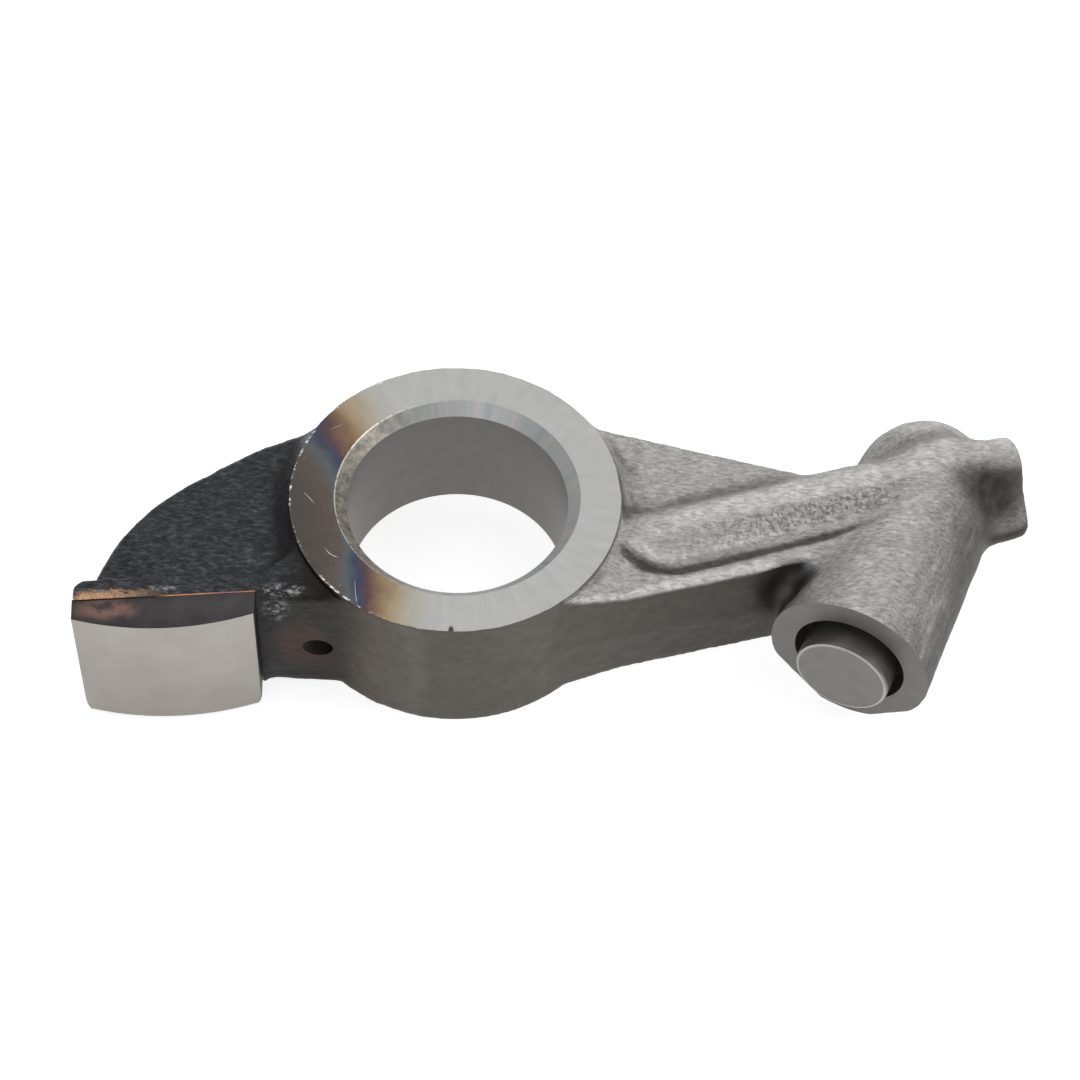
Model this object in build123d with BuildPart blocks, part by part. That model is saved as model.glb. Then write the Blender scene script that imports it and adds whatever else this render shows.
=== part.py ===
from build123d import *
from math import cos, radians, sin
import os

# Overhead-cam rocker arm: a steel forging that swings on a shaft, with a brazed cam pad at one
# end and a hydraulic lash adjuster in the boss at the other. Millimetres. The origin is the centre
# of the shaft bore, +Z runs along the bore, +X points to the adjuster end and -Y to the cam.

# Hub round the shaft
BORE_R = 10.0
BORE_CHAMFER = 1.1
HUB_R = 14.95
HUB_X = -0.2  # the forged wall stands a little off the bore's centre
HUB_HALF = 7.0  # the machined thrust faces

# Arm walls, as half heights from the parting plane
WEB_HALF = 5.0
FLANGE_HALF = 5.6
SHOULDER_HALF = 6.6
SHOULDER_R = 18.2
NECK_HALF = 6.5
HUB_FILLET = 1.7
EDGE_R = 0.9
WEB_EDGE = 0.4  # narrow chamfer along the cam arm's back
DRAFT = 3.0
OVERRUN = 2.0  # how far a cut starts outside the metal

# Cam end: the seat of the pad runs from its left to its right end
SEAT_LEFT = (-32.95, -13.3)
SEAT_RIGHT = (-16.75, -11.38)
SHELF_HALF = 7.0
NECK_WALL_Y = -11.75
BACK_CENTRE = (-2.35, -20.5)
BACK_R = 31.3
SPRAY_HOLE = (-11.9, -11.7, -1.0)
SPRAY_R = 1.15
SPRAY_ANGLE = 35.0
SPRAY_LENGTH = 8.0

# Cam pad, brazed to its seat
BRAZE = 0.12
PAD_HALF = 7.0
PAD_FACE = ((-32.75, -15.35), (-24.5, -15.85), (-16.62, -13.75))
PAD_CORNER_R = 1.5

# Valve arm: straight front and back walls
FRONT_SLOPE = 0.305
FRONT_Y = -14.62  # where the front wall's line would cross x = 0

# Oil gallery with its rib and lug
GALLERY_ANGLE = 18.8
GALLERY_OFFSET = 7.8
GALLERY_R = 1.5
GALLERY_START = 5.0  # inside the shaft bore
RIB_START = 12.4
RIB_END = 38.0
LUG_START = 44.0
LUG_END = 51.5
LUG_EDGE = 0.6
PLUG_R = 2.0
PLUG_SEAT = 3.6
PLUG_BALL_R = 1.99

# Adjuster boss: the axis of its bore lies in the parting plane
MOUTH = (35.68, -11.32)
ADJUSTER_ANGLE = 23.4
BOSS_ANGLE = 22.2  # the forged outside leans a little from the bore
BOSS_R = 7.5
BOSS_STRAIGHT = 20.4
BOSS_DOME_R = 6.95
BOSS_LENGTH = BOSS_STRAIGHT + BOSS_DOME_R
BOSS_FLAT = 6.88  # from the boss's axis to the flats on its lower flanks
BOSS_FLAT_ANGLE = 50.0
BOSS_FLAT_DRAFT = 1.5
ADJUSTER_BORE_R = 5.2
ADJUSTER_BORE_DEPTH = 17.5
FEED_R = 1.2  # drilling from the bore's end into the gallery
FEED_DEPTH = 20.0

# Lash adjuster: radii, and depths from the boss's mouth
RUNNING_GAP = 0.03
NOSE_R = 4.35
NOSE_OUT = 2.03
NOSE_BEVEL = 0.3
BODY_SHOULDER = 1.6
BODY_FLOOR = 0.3
BODY_TOP = 13.6
BODY_BORE_R = 3.8
SEAL_GROOVE = (8.5, 9.7)
SEAL_GROOVE_R = 4.3
SEAL_SIDE = 0.84  # a square-cut ring
RETAINER_DEPTH = 12.45
RETAINER_SIDE = 0.5
RETAINER_R = 3.9
RETAINER_ARC = 325.0  # the ring is split
PLUNGER_BOTTOM = 5.2
PLUNGER_WAIST = 12.2
PLUNGER_WAIST_R = 3.4
RESERVOIR_R = 2.4
RESERVOIR = (7.2, 16.5)
PLUNGER_FEED_R = 1.0
VALVE_HOLE_R = 0.8
VALVE_SEAT_R = 1.4
BALL_R = 1.2
BALL_DEPTH = 4.87
CAGE_WALL = 0.25
CAGE_R = 1.65
CAGE_FLANGE_R = 3.2
CAGE_BOTTOM = 2.45
CAGE_WINDOW = (2.95, 4.6)
CAGE_WINDOW_WIDTH = 0.9
PLUNGER_SPRING_R = 2.75
PLUNGER_WIRE_R = 0.25
PLUNGER_SPRING_TURNS = 4
CHECK_SPRING_R = 0.7
CHECK_WIRE_R = 0.1
CHECK_SPRING_TURNS = 3
WIRE_SIDES = 6  # round wire, drawn with six sides as it is so thin
SEAT_GAP = 0.02  # between pieces that only touch

# Directions of the gallery and of the adjuster
gallery = Vector(cos(radians(GALLERY_ANGLE)), sin(radians(GALLERY_ANGLE)), 0)
across = Vector(-gallery.Y, gallery.X, 0)
inward = Vector(sin(radians(ADJUSTER_ANGLE)), cos(radians(ADJUSTER_ANGLE)), 0)
sideways = Vector(inward.Y, -inward.X, 0)
mouth = Vector(MOUTH[0], MOUTH[1], 0)

# The forged outside of the boss turns about its own line
boss_direction = Vector(sin(radians(BOSS_ANGLE)), cos(radians(BOSS_ANGLE)), 0)
boss_side = Vector(boss_direction.Y, -boss_direction.X, 0)
boss_section = Plane(origin=mouth, x_dir=boss_side, z_dir=(0, 0, 1))

# Half sections of the adjuster have x as radius and y as depth from the mouth
adjuster_section = Plane(origin=mouth, x_dir=sideways, z_dir=(0, 0, 1))
adjuster_axis = Axis(origin=mouth, direction=inward)

# The spray hole's axis
spray_origin = Vector(*SPRAY_HOLE)
spray_direction = Vector(sin(radians(SPRAY_ANGLE)), cos(radians(SPRAY_ANGLE)), 0)

# The seat of the pad, and the copper's other side where the pad starts
seat_left = Vector(SEAT_LEFT[0], SEAT_LEFT[1], 0)
seat_right = Vector(SEAT_RIGHT[0], SEAT_RIGHT[1], 0)
seat_direction = (seat_right - seat_left).normalized()
seat_outward = Vector(seat_direction.Y, -seat_direction.X, 0)
braze_left = seat_left + seat_outward * BRAZE
braze_right = seat_right + seat_outward * BRAZE


def gallery_plane(distance):
    """Plane across the oil gallery, so far along it: x to the arm's back, y up."""
    origin = gallery * distance - across * GALLERY_OFFSET
    return Plane(origin=origin, x_dir=across, z_dir=gallery)


def boss_plane(depth):
    """Plane across the adjuster boss, so deep from its mouth: x to the right, y down."""
    return Plane(origin=mouth + inward * depth, x_dir=sideways, z_dir=inward)


def back_point(angle):
    """Point of the cam arm's curved back at an angle about its centre."""
    x = BACK_CENTRE[0] + BACK_R * cos(radians(angle))
    y = BACK_CENTRE[1] + BACK_R * sin(radians(angle))
    return (x, y)


def front_point(x):
    """Point of the valve arm's front wall at the parting plane."""
    return (x, FRONT_Y + FRONT_SLOPE * x)


def web_outline():
    """Plan of the web that joins the hub to both ends of the arm."""
    with BuildSketch(Plane.XY) as outline:
        with BuildLine():
            ThreePointArc(back_point(103), back_point(132), back_point(161))
            Polyline(
                back_point(161),
                (-31.9, -12.9),
                (-17.5, -11.0),
                (0, -9.0),
                (33.0, 0),
                (36.5, 4.9),
                (9.2, 11.2),
                back_point(103),
            )
        make_face()
    return outline.sketch


def flange_outline():
    """Plan of the valve arm's thicker front, from the hub to the boss."""
    with BuildSketch(Plane.XY) as outline:
        with BuildLine():
            Polyline(
                front_point(4.0),
                front_point(31.0),
                (38.0, 0),
                (16.0, -2.0),
                (0, -9.0),
                front_point(4.0),
            )
        make_face()
    return outline.sketch


# Web: the thin plate, drafted to both sides of the parting plane
with BuildPart() as web:
    add(web_outline())
    extrude(amount=WEB_HALF, taper=DRAFT)
    chamfer(web.faces().sort_by(Axis.Z)[-1].edges().sort_by(Axis.Y)[-3:], WEB_EDGE)
    mirror(about=Plane.XY)

# Concave foot of the hub on the web, cut to the web's outline
with BuildPart() as hub_foot:
    add(web_outline())
    extrude(amount=HUB_HALF, taper=DRAFT)
    with BuildSketch(Plane(origin=(HUB_X, 0, 0), x_dir=(1, 0, 0), z_dir=(0, -1, 0))):
        with BuildLine():
            foot = HUB_R + HUB_FILLET
            bend = HUB_FILLET * (1 - cos(radians(45)))
            Polyline((HUB_R, WEB_HALF + HUB_FILLET), (HUB_R - 1, WEB_HALF + HUB_FILLET))
            Polyline((HUB_R - 1, WEB_HALF + HUB_FILLET), (HUB_R - 1, 0), (foot, 0))
            Line((foot, 0), (foot, WEB_HALF - SEAT_GAP))
            ThreePointArc(
                (foot, WEB_HALF - SEAT_GAP), (HUB_R + bend, WEB_HALF + bend), (HUB_R, WEB_HALF + HUB_FILLET)
            )
        make_face()
    revolve(axis=Axis((HUB_X, 0, 0), (0, 0, 1)), mode=Mode.INTERSECT)
    mirror(about=Plane.XY)

# Flange along the valve arm's front, with a rounded edge
with BuildPart() as flange:
    add(flange_outline())
    extrude(amount=FLANGE_HALF, taper=DRAFT)
    fillet(flange.faces().sort_by(Axis.Z)[-1].edges().sort_by(Axis.Y)[0], EDGE_R)
    mirror(about=Plane.XY)

# Shoulder where the flange climbs to the hub
with BuildPart() as shoulder:
    add(flange_outline())
    extrude(amount=SHOULDER_HALF, taper=DRAFT)
    fillet(shoulder.faces().sort_by(Axis.Z)[-1].edges().sort_by(Axis.Y)[0], EDGE_R)
    with BuildSketch(Plane.XZ):
        Polygon(
            (0, 0),
            (SHOULDER_R, 0),
            (SHOULDER_R, FLANGE_HALF - 0.1),
            (HUB_R, SHOULDER_HALF),
            (0, SHOULDER_HALF),
            align=None,
        )
    revolve(axis=Axis.Z, mode=Mode.INTERSECT)
    mirror(about=Plane.XY)

# Shelf behind the pad, ground level with it
with BuildPart() as shelf:
    with BuildSketch(Plane.XY):
        Polygon(
            SEAT_LEFT,
            SEAT_RIGHT,
            (-16.7, -9.4),
            (-26.4, -10.35),
            (-32.45, -11.35),
            (-33.1, -12.2),
            align=None,
        )
    extrude(amount=SHELF_HALF, both=True)

# Neck between the shelf and the hub
with BuildPart() as neck:
    with BuildSketch(Plane.XY):
        with BuildLine():
            Polyline((-10.2, NECK_WALL_Y), (-16.7, NECK_WALL_Y), (-16.7, -11.4), (-17.6, -9.5), (-14.4, -6.4))
            Polyline((-14.4, -6.4), (-10.0, -2.0), (-3.0, -10.0), (-5.6, -13.9))
            ThreePointArc((-5.6, -13.9), (-7.5, -12.45), (-10.2, NECK_WALL_Y))
        make_face()
    extrude(amount=NECK_HALF, both=True)

# Rib over the oil gallery: a round crown, steep to the back and gentle to the front
with BuildPart() as rib:
    with BuildSketch(gallery_plane(RIB_START)):
        with BuildLine():
            ThreePointArc((3.05, 4.5), (2.05, 5.85), (0, 6.75))
            ThreePointArc((0, 6.75), (-2.2, 6.7), (-3.8, 6.35))
            Polyline((-3.8, 6.35), (-4.5, 5.4), (-4.5, 0), (3.05, 0), (3.05, 4.5))
        make_face()
    extrude(amount=RIB_END - RIB_START)
    with BuildSketch(Plane(origin=across * -GALLERY_OFFSET, x_dir=gallery, z_dir=(0, 0, 1))):
        with BuildLine():
            Polyline((16.6, -4.5), (RIB_END, -4.5), (RIB_END, 3.1), (RIB_START, 3.1), (RIB_START, 0.6))
            ThreePointArc((RIB_START, 0.6), (13.9, -2.7), (16.6, -4.5))
        make_face()
    extrude(amount=HUB_HALF, mode=Mode.INTERSECT)
    mirror(about=Plane.XY)

with BuildPart() as hub:
    with Locations((HUB_X, 0)):
        Cylinder(HUB_R, 2 * HUB_HALF)

# Boss that holds the adjuster: a drafted cone with a domed end, flatter on its lower flanks
with BuildPart() as boss:
    with BuildSketch(boss_section):
        with BuildLine():
            Polyline((0, BOSS_LENGTH), (0, -OVERRUN), (BOSS_R, -OVERRUN))
            Polyline((BOSS_R, -OVERRUN), (BOSS_R, 0), (BOSS_DOME_R, BOSS_STRAIGHT))
            RadiusArc((BOSS_DOME_R, BOSS_STRAIGHT), (0, BOSS_LENGTH), -BOSS_DOME_R)
        make_face()
    revolve(axis=Axis(boss_section.origin, boss_direction))
    for side in (1, -1):
        lower_side = boss_side * side * cos(radians(BOSS_FLAT_ANGLE))
        down_and_out = lower_side - Vector(0, 0, sin(radians(BOSS_FLAT_ANGLE)))
        flat_normal = down_and_out + boss_direction * sin(radians(BOSS_FLAT_DRAFT))
        split(bisect_by=Plane(origin=mouth + down_and_out * BOSS_FLAT, z_dir=flat_normal), keep=Keep.BOTTOM)


def lug_section(distance, size):
    """Section of the lug: a round crown above and below, and a nose at the parting line."""
    with BuildSketch(gallery_plane(distance)) as section:
        with BuildLine():
            for up in (1, -1):
                for side in (1, -1):
                    ThreePointArc((0, 6.3 * up), (1.5 * side, 5.75 * up), (2.17 * side, 4.6 * up))
                    ThreePointArc((2.17 * side, 4.6 * up), (3.35 * side, 2.8 * up), (5.1 * side, 1.25 * up))
                    ThreePointArc((5.1 * side, 1.25 * up), (5.5 * side, 0.75 * up), (5.65 * side, 0))
        make_face()
        scale(by=size)
    return section.sketch


# Lug past the boss, where the gallery is drilled from
with BuildPart() as lug:
    loft(sections=[lug_section(LUG_START, 1.05).face(), lug_section(LUG_END, 0.97).face()])
    chamfer(lug.faces().sort_by(Axis((0, 0, 0), gallery))[-1].edges(), LUG_EDGE)

# The forging, then what is drilled and turned in it
with BuildPart() as rocker_arm:
    add(web.part)
    add(hub_foot.part)
    add(flange.part)
    add(shoulder.part)
    add(shelf.part)
    add(neck.part)
    add(rib.part)
    add(hub.part)
    add(boss.part)
    add(lug.part)
    # Shaft bore with its two chamfers
    with BuildSketch(Plane.XZ):
        with BuildLine():
            Polyline((0, HUB_HALF), (BORE_R + BORE_CHAMFER, HUB_HALF), (BORE_R, HUB_HALF - BORE_CHAMFER))
            Polyline((BORE_R, HUB_HALF - BORE_CHAMFER), (BORE_R, BORE_CHAMFER - HUB_HALF))
            Polyline((BORE_R, BORE_CHAMFER - HUB_HALF), (BORE_R + BORE_CHAMFER, -HUB_HALF), (0, -HUB_HALF))
            Line((0, -HUB_HALF), (0, HUB_HALF))
        make_face()
    revolve(axis=Axis.Z, mode=Mode.SUBTRACT)
    # Mouth of the boss, faced square to the adjuster's bore
    with BuildSketch(boss_plane(0)):
        Circle(BOSS_R + OVERRUN)
    extrude(amount=-2 * OVERRUN, mode=Mode.SUBTRACT)
    # Bore of the adjuster, and the feed drilled from its end into the gallery
    with BuildSketch(boss_plane(0)):
        Circle(ADJUSTER_BORE_R)
    extrude(amount=ADJUSTER_BORE_DEPTH, mode=Mode.SUBTRACT)
    with BuildSketch(boss_plane(ADJUSTER_BORE_DEPTH - 1)):
        Circle(FEED_R)
    extrude(amount=FEED_DEPTH - ADJUSTER_BORE_DEPTH + 1, mode=Mode.SUBTRACT)
    # Oil gallery from the lug's end to the shaft bore, with the seat of its plug
    with BuildSketch(gallery_plane(LUG_END + OVERRUN)):
        Circle(GALLERY_R)
    extrude(amount=GALLERY_START - LUG_END - OVERRUN, mode=Mode.SUBTRACT)
    with BuildSketch(gallery_plane(LUG_END + OVERRUN)):
        Circle(PLUG_R)
    extrude(amount=-PLUG_SEAT - OVERRUN, mode=Mode.SUBTRACT)
    # Spray hole through the neck's wall, aimed at the cam
    with BuildSketch(Plane(origin=spray_origin - spray_direction * OVERRUN, z_dir=spray_direction)):
        Circle(SPRAY_R)
    extrude(amount=SPRAY_LENGTH + OVERRUN, mode=Mode.SUBTRACT)

# Copper that holds the pad on its seat
with BuildPart() as braze_seam:
    with BuildSketch(Plane.XY):
        Polygon(
            seat_left + seat_direction * BRAZE,
            seat_right - seat_direction * BRAZE,
            braze_right - seat_direction * BRAZE,
            braze_left + seat_direction * BRAZE,
            align=None,
        )
    extrude(amount=PAD_HALF - BRAZE, both=True)

# Cam pad: a crowned face, with the two lower corners rounded
with BuildPart() as cam_pad:
    with BuildSketch(Plane.XY):
        with BuildLine():
            ThreePointArc(*PAD_FACE)
            Polyline(PAD_FACE[2], braze_right, braze_left, PAD_FACE[0])
        make_face()
    extrude(amount=PAD_HALF, both=True)
    lower_edges = cam_pad.faces().sort_by(Axis.Z)[0].edges()
    fillet([lower_edges.sort_by(Axis.X)[0], lower_edges.sort_by(Axis.X)[-1]], PAD_CORNER_R)

# Steel ball pressed into the drilled end of the gallery, down on the edge of the narrower hole
with BuildPart() as gallery_plug:
    plug_rise = (PLUG_BALL_R**2 - GALLERY_R**2) ** 0.5
    with Locations(gallery * (LUG_END - PLUG_SEAT + plug_rise + SEAT_GAP) - across * GALLERY_OFFSET):
        Sphere(PLUG_BALL_R)

# Adjuster body: a cup whose closed end is the nose that works on the valve
with BuildPart() as adjuster_body:
    body_r = ADJUSTER_BORE_R - RUNNING_GAP
    retainer_groove = RETAINER_SIDE / 2 + SEAT_GAP
    with BuildSketch(adjuster_section):
        Polygon(
            (0, -NOSE_OUT),
            (NOSE_R - NOSE_BEVEL, -NOSE_OUT),
            (NOSE_R, NOSE_BEVEL - NOSE_OUT),
            (NOSE_R, BODY_SHOULDER),
            (body_r, BODY_SHOULDER + body_r - NOSE_R),
            (body_r, SEAL_GROOVE[0]),
            (SEAL_GROOVE_R, SEAL_GROOVE[0]),
            (SEAL_GROOVE_R, SEAL_GROOVE[1]),
            (body_r, SEAL_GROOVE[1]),
            (body_r, BODY_TOP),
            (BODY_BORE_R, BODY_TOP),
            (BODY_BORE_R, RETAINER_DEPTH + retainer_groove),
            (RETAINER_R + retainer_groove, RETAINER_DEPTH + retainer_groove),
            (RETAINER_R + retainer_groove, RETAINER_DEPTH - retainer_groove),
            (BODY_BORE_R, RETAINER_DEPTH - retainer_groove),
            (BODY_BORE_R, BODY_FLOOR),
            (0, BODY_FLOOR),
            align=None,
        )
    revolve(axis=adjuster_axis)

# Seal ring in the body's groove
with BuildPart() as seal_ring:
    with BuildSketch(adjuster_section):
        with Locations((ADJUSTER_BORE_R - SEAT_GAP - SEAL_SIDE / 2, (SEAL_GROOVE[0] + SEAL_GROOVE[1]) / 2)):
            Rectangle(SEAL_SIDE, SEAL_SIDE)
    revolve(axis=adjuster_axis)

# Split ring of square wire that keeps the body on the plunger
with BuildPart() as plunger_retainer:
    with BuildSketch(adjuster_section):
        with Locations((RETAINER_R, RETAINER_DEPTH)):
            Rectangle(RETAINER_SIDE, RETAINER_SIDE)
    revolve(axis=adjuster_axis, revolution_arc=RETAINER_ARC)

# Plunger: stands on the bore's end, holds the oil and has the valve's seat at its other end
with BuildPart() as adjuster_plunger:
    plunger_r = BODY_BORE_R - RUNNING_GAP
    plunger_top = ADJUSTER_BORE_DEPTH - SEAT_GAP
    with BuildSketch(adjuster_section):
        Polygon(
            (VALVE_SEAT_R, PLUNGER_BOTTOM),
            (plunger_r, PLUNGER_BOTTOM),
            (plunger_r, PLUNGER_WAIST),
            (PLUNGER_WAIST_R, PLUNGER_WAIST),
            (PLUNGER_WAIST_R, plunger_top),
            (PLUNGER_FEED_R, plunger_top),
            (PLUNGER_FEED_R, RESERVOIR[1]),
            (RESERVOIR_R, RESERVOIR[1]),
            (RESERVOIR_R, RESERVOIR[0]),
            (VALVE_HOLE_R, RESERVOIR[0]),
            (VALVE_HOLE_R, PLUNGER_BOTTOM + VALVE_SEAT_R - VALVE_HOLE_R),
            align=None,
        )
    revolve(axis=adjuster_axis)

# Pressed cage over the valve, with a flange under the plunger and three windows
with BuildPart() as ball_cage:
    flange_top = PLUNGER_BOTTOM - SEAT_GAP
    with BuildSketch(adjuster_section):
        Polygon(
            (0, CAGE_BOTTOM),
            (CAGE_R, CAGE_BOTTOM),
            (CAGE_R, flange_top - CAGE_WALL),
            (CAGE_FLANGE_R, flange_top - CAGE_WALL),
            (CAGE_FLANGE_R, flange_top),
            (CAGE_R - CAGE_WALL, flange_top),
            (CAGE_R - CAGE_WALL, CAGE_BOTTOM + CAGE_WALL),
            (0, CAGE_BOTTOM + CAGE_WALL),
            align=None,
        )
    revolve(axis=adjuster_axis)
    with BuildSketch(boss_plane(CAGE_WINDOW[0])):
        with PolarLocations(CAGE_R, 3):
            Rectangle(4 * CAGE_WALL, CAGE_WINDOW_WIDTH)
    extrude(amount=CAGE_WINDOW[1] - CAGE_WINDOW[0], mode=Mode.SUBTRACT)

# Ball of the check valve
with BuildPart() as check_ball:
    with Locations(mouth + inward * BALL_DEPTH):
        Sphere(BALL_R)

# Spring from the cage's floor to the ball
with BuildPart() as check_spring:
    spring_start = CAGE_BOTTOM + CAGE_WALL + CHECK_WIRE_R + SEAT_GAP
    ball_contact = ((BALL_R + CHECK_WIRE_R + SEAT_GAP) ** 2 - CHECK_SPRING_R**2) ** 0.5
    spring_height = BALL_DEPTH - ball_contact - spring_start
    with BuildLine() as check_coil:
        Helix(
            pitch=spring_height / CHECK_SPRING_TURNS,
            height=spring_height,
            radius=CHECK_SPRING_R,
            center=mouth + inward * spring_start,
            direction=inward,
        )
    with BuildSketch(Plane(origin=check_coil.line @ 0, z_dir=check_coil.line % 0)):
        RegularPolygon(CHECK_WIRE_R, WIRE_SIDES)
    sweep(path=check_coil.line, is_frenet=True)

# Spring between the body's floor and the cage's flange, which takes up the lash
with BuildPart() as plunger_spring:
    coil_start = BODY_FLOOR + PLUNGER_WIRE_R + SEAT_GAP
    coil_end = PLUNGER_BOTTOM - CAGE_WALL - PLUNGER_WIRE_R - 2 * SEAT_GAP
    with BuildLine() as lash_coil:
        Helix(
            pitch=(coil_end - coil_start) / PLUNGER_SPRING_TURNS,
            height=coil_end - coil_start,
            radius=PLUNGER_SPRING_R,
            center=mouth + inward * coil_start,
            direction=inward,
        )
    with BuildSketch(Plane(origin=lash_coil.line @ 0, z_dir=lash_coil.line % 0)):
        RegularPolygon(PLUNGER_WIRE_R, WIRE_SIDES)
    sweep(path=lash_coil.line, is_frenet=True)

rocker_arm.part.label = "rocker_arm"
cam_pad.part.label = "cam_pad"
braze_seam.part.label = "braze_seam"
gallery_plug.part.label = "gallery_plug"
adjuster_body.part.label = "adjuster_body"
seal_ring.part.label = "seal_ring"
plunger_retainer.part.label = "plunger_retainer"
adjuster_plunger.part.label = "adjuster_plunger"
ball_cage.part.label = "ball_cage"
check_ball.part.label = "check_ball"
check_spring.part.label = "check_spring"
plunger_spring.part.label = "plunger_spring"

os.makedirs("parts", exist_ok=True)
export_step(rocker_arm.part, "parts/rocker_arm.step")
export_step(cam_pad.part, "parts/cam_pad.step")
export_step(braze_seam.part, "parts/braze_seam.step")
export_step(gallery_plug.part, "parts/gallery_plug.step")
export_step(adjuster_body.part, "parts/adjuster_body.step")
export_step(seal_ring.part, "parts/seal_ring.step")
export_step(plunger_retainer.part, "parts/plunger_retainer.step")
export_step(adjuster_plunger.part, "parts/adjuster_plunger.step")
export_step(ball_cage.part, "parts/ball_cage.step")
export_step(check_ball.part, "parts/check_ball.step")
export_step(check_spring.part, "parts/check_spring.step")
export_step(plunger_spring.part, "parts/plunger_spring.step")
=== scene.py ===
"""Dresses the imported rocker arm: its forging, cam pad and lash adjuster, and a plain studio."""

import logging
import math
from collections.abc import Iterable, Sequence
from dataclasses import dataclass
from enum import Enum

import bmesh
import bpy
import numpy as np
from mathutils import Matrix, Vector, noise


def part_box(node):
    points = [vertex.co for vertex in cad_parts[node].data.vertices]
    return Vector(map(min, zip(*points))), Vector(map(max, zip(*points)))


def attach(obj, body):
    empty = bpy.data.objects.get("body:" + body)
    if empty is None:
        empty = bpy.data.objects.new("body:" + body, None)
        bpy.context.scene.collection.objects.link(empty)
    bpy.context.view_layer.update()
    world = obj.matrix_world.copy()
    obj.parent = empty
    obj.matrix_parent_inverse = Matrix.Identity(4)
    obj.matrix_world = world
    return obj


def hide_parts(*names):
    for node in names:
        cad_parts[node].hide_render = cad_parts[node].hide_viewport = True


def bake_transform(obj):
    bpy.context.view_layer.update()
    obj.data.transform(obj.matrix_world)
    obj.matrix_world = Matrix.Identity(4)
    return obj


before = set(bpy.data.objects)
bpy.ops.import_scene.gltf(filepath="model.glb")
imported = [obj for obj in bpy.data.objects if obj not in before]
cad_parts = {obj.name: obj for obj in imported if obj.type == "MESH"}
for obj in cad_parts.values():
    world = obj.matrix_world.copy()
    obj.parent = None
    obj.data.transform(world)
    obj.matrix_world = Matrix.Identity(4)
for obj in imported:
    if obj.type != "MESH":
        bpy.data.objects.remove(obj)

LOG = logging.getLogger("rocker_arm")

MM = 0.001  # pieces are shaped in millimetres and scaled to metres when they are finished
CLOSE = 0.01  # millimetres within which two places count as one

Point = tuple[float, float]
Spot = tuple[float, float, float]
Colour = tuple[float, float, float]
Bend = tuple[Point, Point, Point]  # start, middle and end of an arc
Stops = Sequence[tuple[float, Colour]]
Shape = bmesh.types.BMesh
Piece = bpy.types.Object
Material = bpy.types.Material
Socket = bpy.types.NodeSocket
Value = Socket | float
Vectorial = Socket | Spot
Tint = Socket | Colour

WHITE: Colour = (1.0, 1.0, 1.0)
RIGHT = Vector((1, 0, 0))
UP = Vector((0, 0, 1))


class Slot(Enum):
    """Material slots of the record, one for each kind of piece."""

    FORGING = "forging"
    PAD = "pad"
    BRAZE = "braze"
    ADJUSTER = "adjuster_steel"
    SPRING = "spring_steel"


class Cut(Enum):
    """What a Boolean step does with the tool."""

    AWAY = "DIFFERENCE"
    COMMON = "INTERSECT"


def grey(level: float) -> Colour:
    """Neutral colour; a level over 1 brightens what it multiplies."""
    return (level, level, level)


def leaning(angle: float) -> Vector:
    """Direction in the parting plane, so many degrees from +Y towards +X."""
    return Vector((math.sin(math.radians(angle)), math.cos(math.radians(angle)), 0))


def rightwards(direction: Vector) -> Vector:
    """Direction in the parting plane, a quarter turn to the right."""
    return Vector((direction.y, -direction.x, 0))


def fade(values: np.ndarray, start: float, end: float) -> np.ndarray:
    """Straight rise from 0 at start to 1 at end, which may lie below start."""
    return np.clip((values - start) / (end - start), 0, 1)


def arc(centre: Point, radius: float, start: float, end: float, steps: int) -> list[Point]:
    """Points of a circular arc.

    Args:
        centre: Centre of the circle.
        radius: Its radius.
        start: First angle in degrees.
        end: Last angle in degrees.
        steps: Number of spans.

    Returns:
        The points from start to end, both included.
    """
    angles = [math.radians(start + (end - start) * i / steps) for i in range(steps + 1)]
    return [(centre[0] + radius * math.cos(a), centre[1] + radius * math.sin(a)) for a in angles]


def arc_through(first: Point, middle: Point, last: Point, steps: int) -> list[Point]:
    """Points of the circular arc through three points.

    Args:
        first: Start of the arc.
        middle: A point on it.
        last: End of the arc.
        steps: Number of spans.

    Returns:
        The points from first to last, both included.
    """
    (ax, ay), (bx, by), (cx, cy) = first, middle, last
    turn = 2 * (ax * (by - cy) + bx * (cy - ay) + cx * (ay - by))
    a2, b2, c2 = ax * ax + ay * ay, bx * bx + by * by, cx * cx + cy * cy
    centre = (
        (a2 * (by - cy) + b2 * (cy - ay) + c2 * (ay - by)) / turn,
        (a2 * (cx - bx) + b2 * (ax - cx) + c2 * (bx - ax)) / turn,
    )
    angles = [math.degrees(math.atan2(y - centre[1], x - centre[0])) for x, y in (first, middle, last)]
    sweep = (angles[2] - angles[0]) % 360
    if (angles[1] - angles[0]) % 360 > sweep:
        sweep -= 360
    return arc(centre, math.dist(centre, first), angles[0], angles[0] + sweep, steps)


def inset(outline: Sequence[Point], distance: float) -> list[Point]:
    """Outline with every side moved inwards.

    Args:
        outline: Corners, counter-clockwise.
        distance: How far each side moves.

    Returns:
        The new corners, one for each old one.
    """
    moved = []
    for i, corner in enumerate(outline):
        before = Vector(corner) - Vector(outline[i - 1])
        after = Vector(outline[(i + 1) % len(outline)]) - Vector(corner)
        left, right = before.normalized(), after.normalized()
        bisector = (left.orthogonal() + right.orthogonal()).normalized()
        reach = distance / max(0.3, bisector.dot(left.orthogonal()))
        moved.append(tuple(Vector(corner) + bisector * reach))
    return moved


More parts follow.
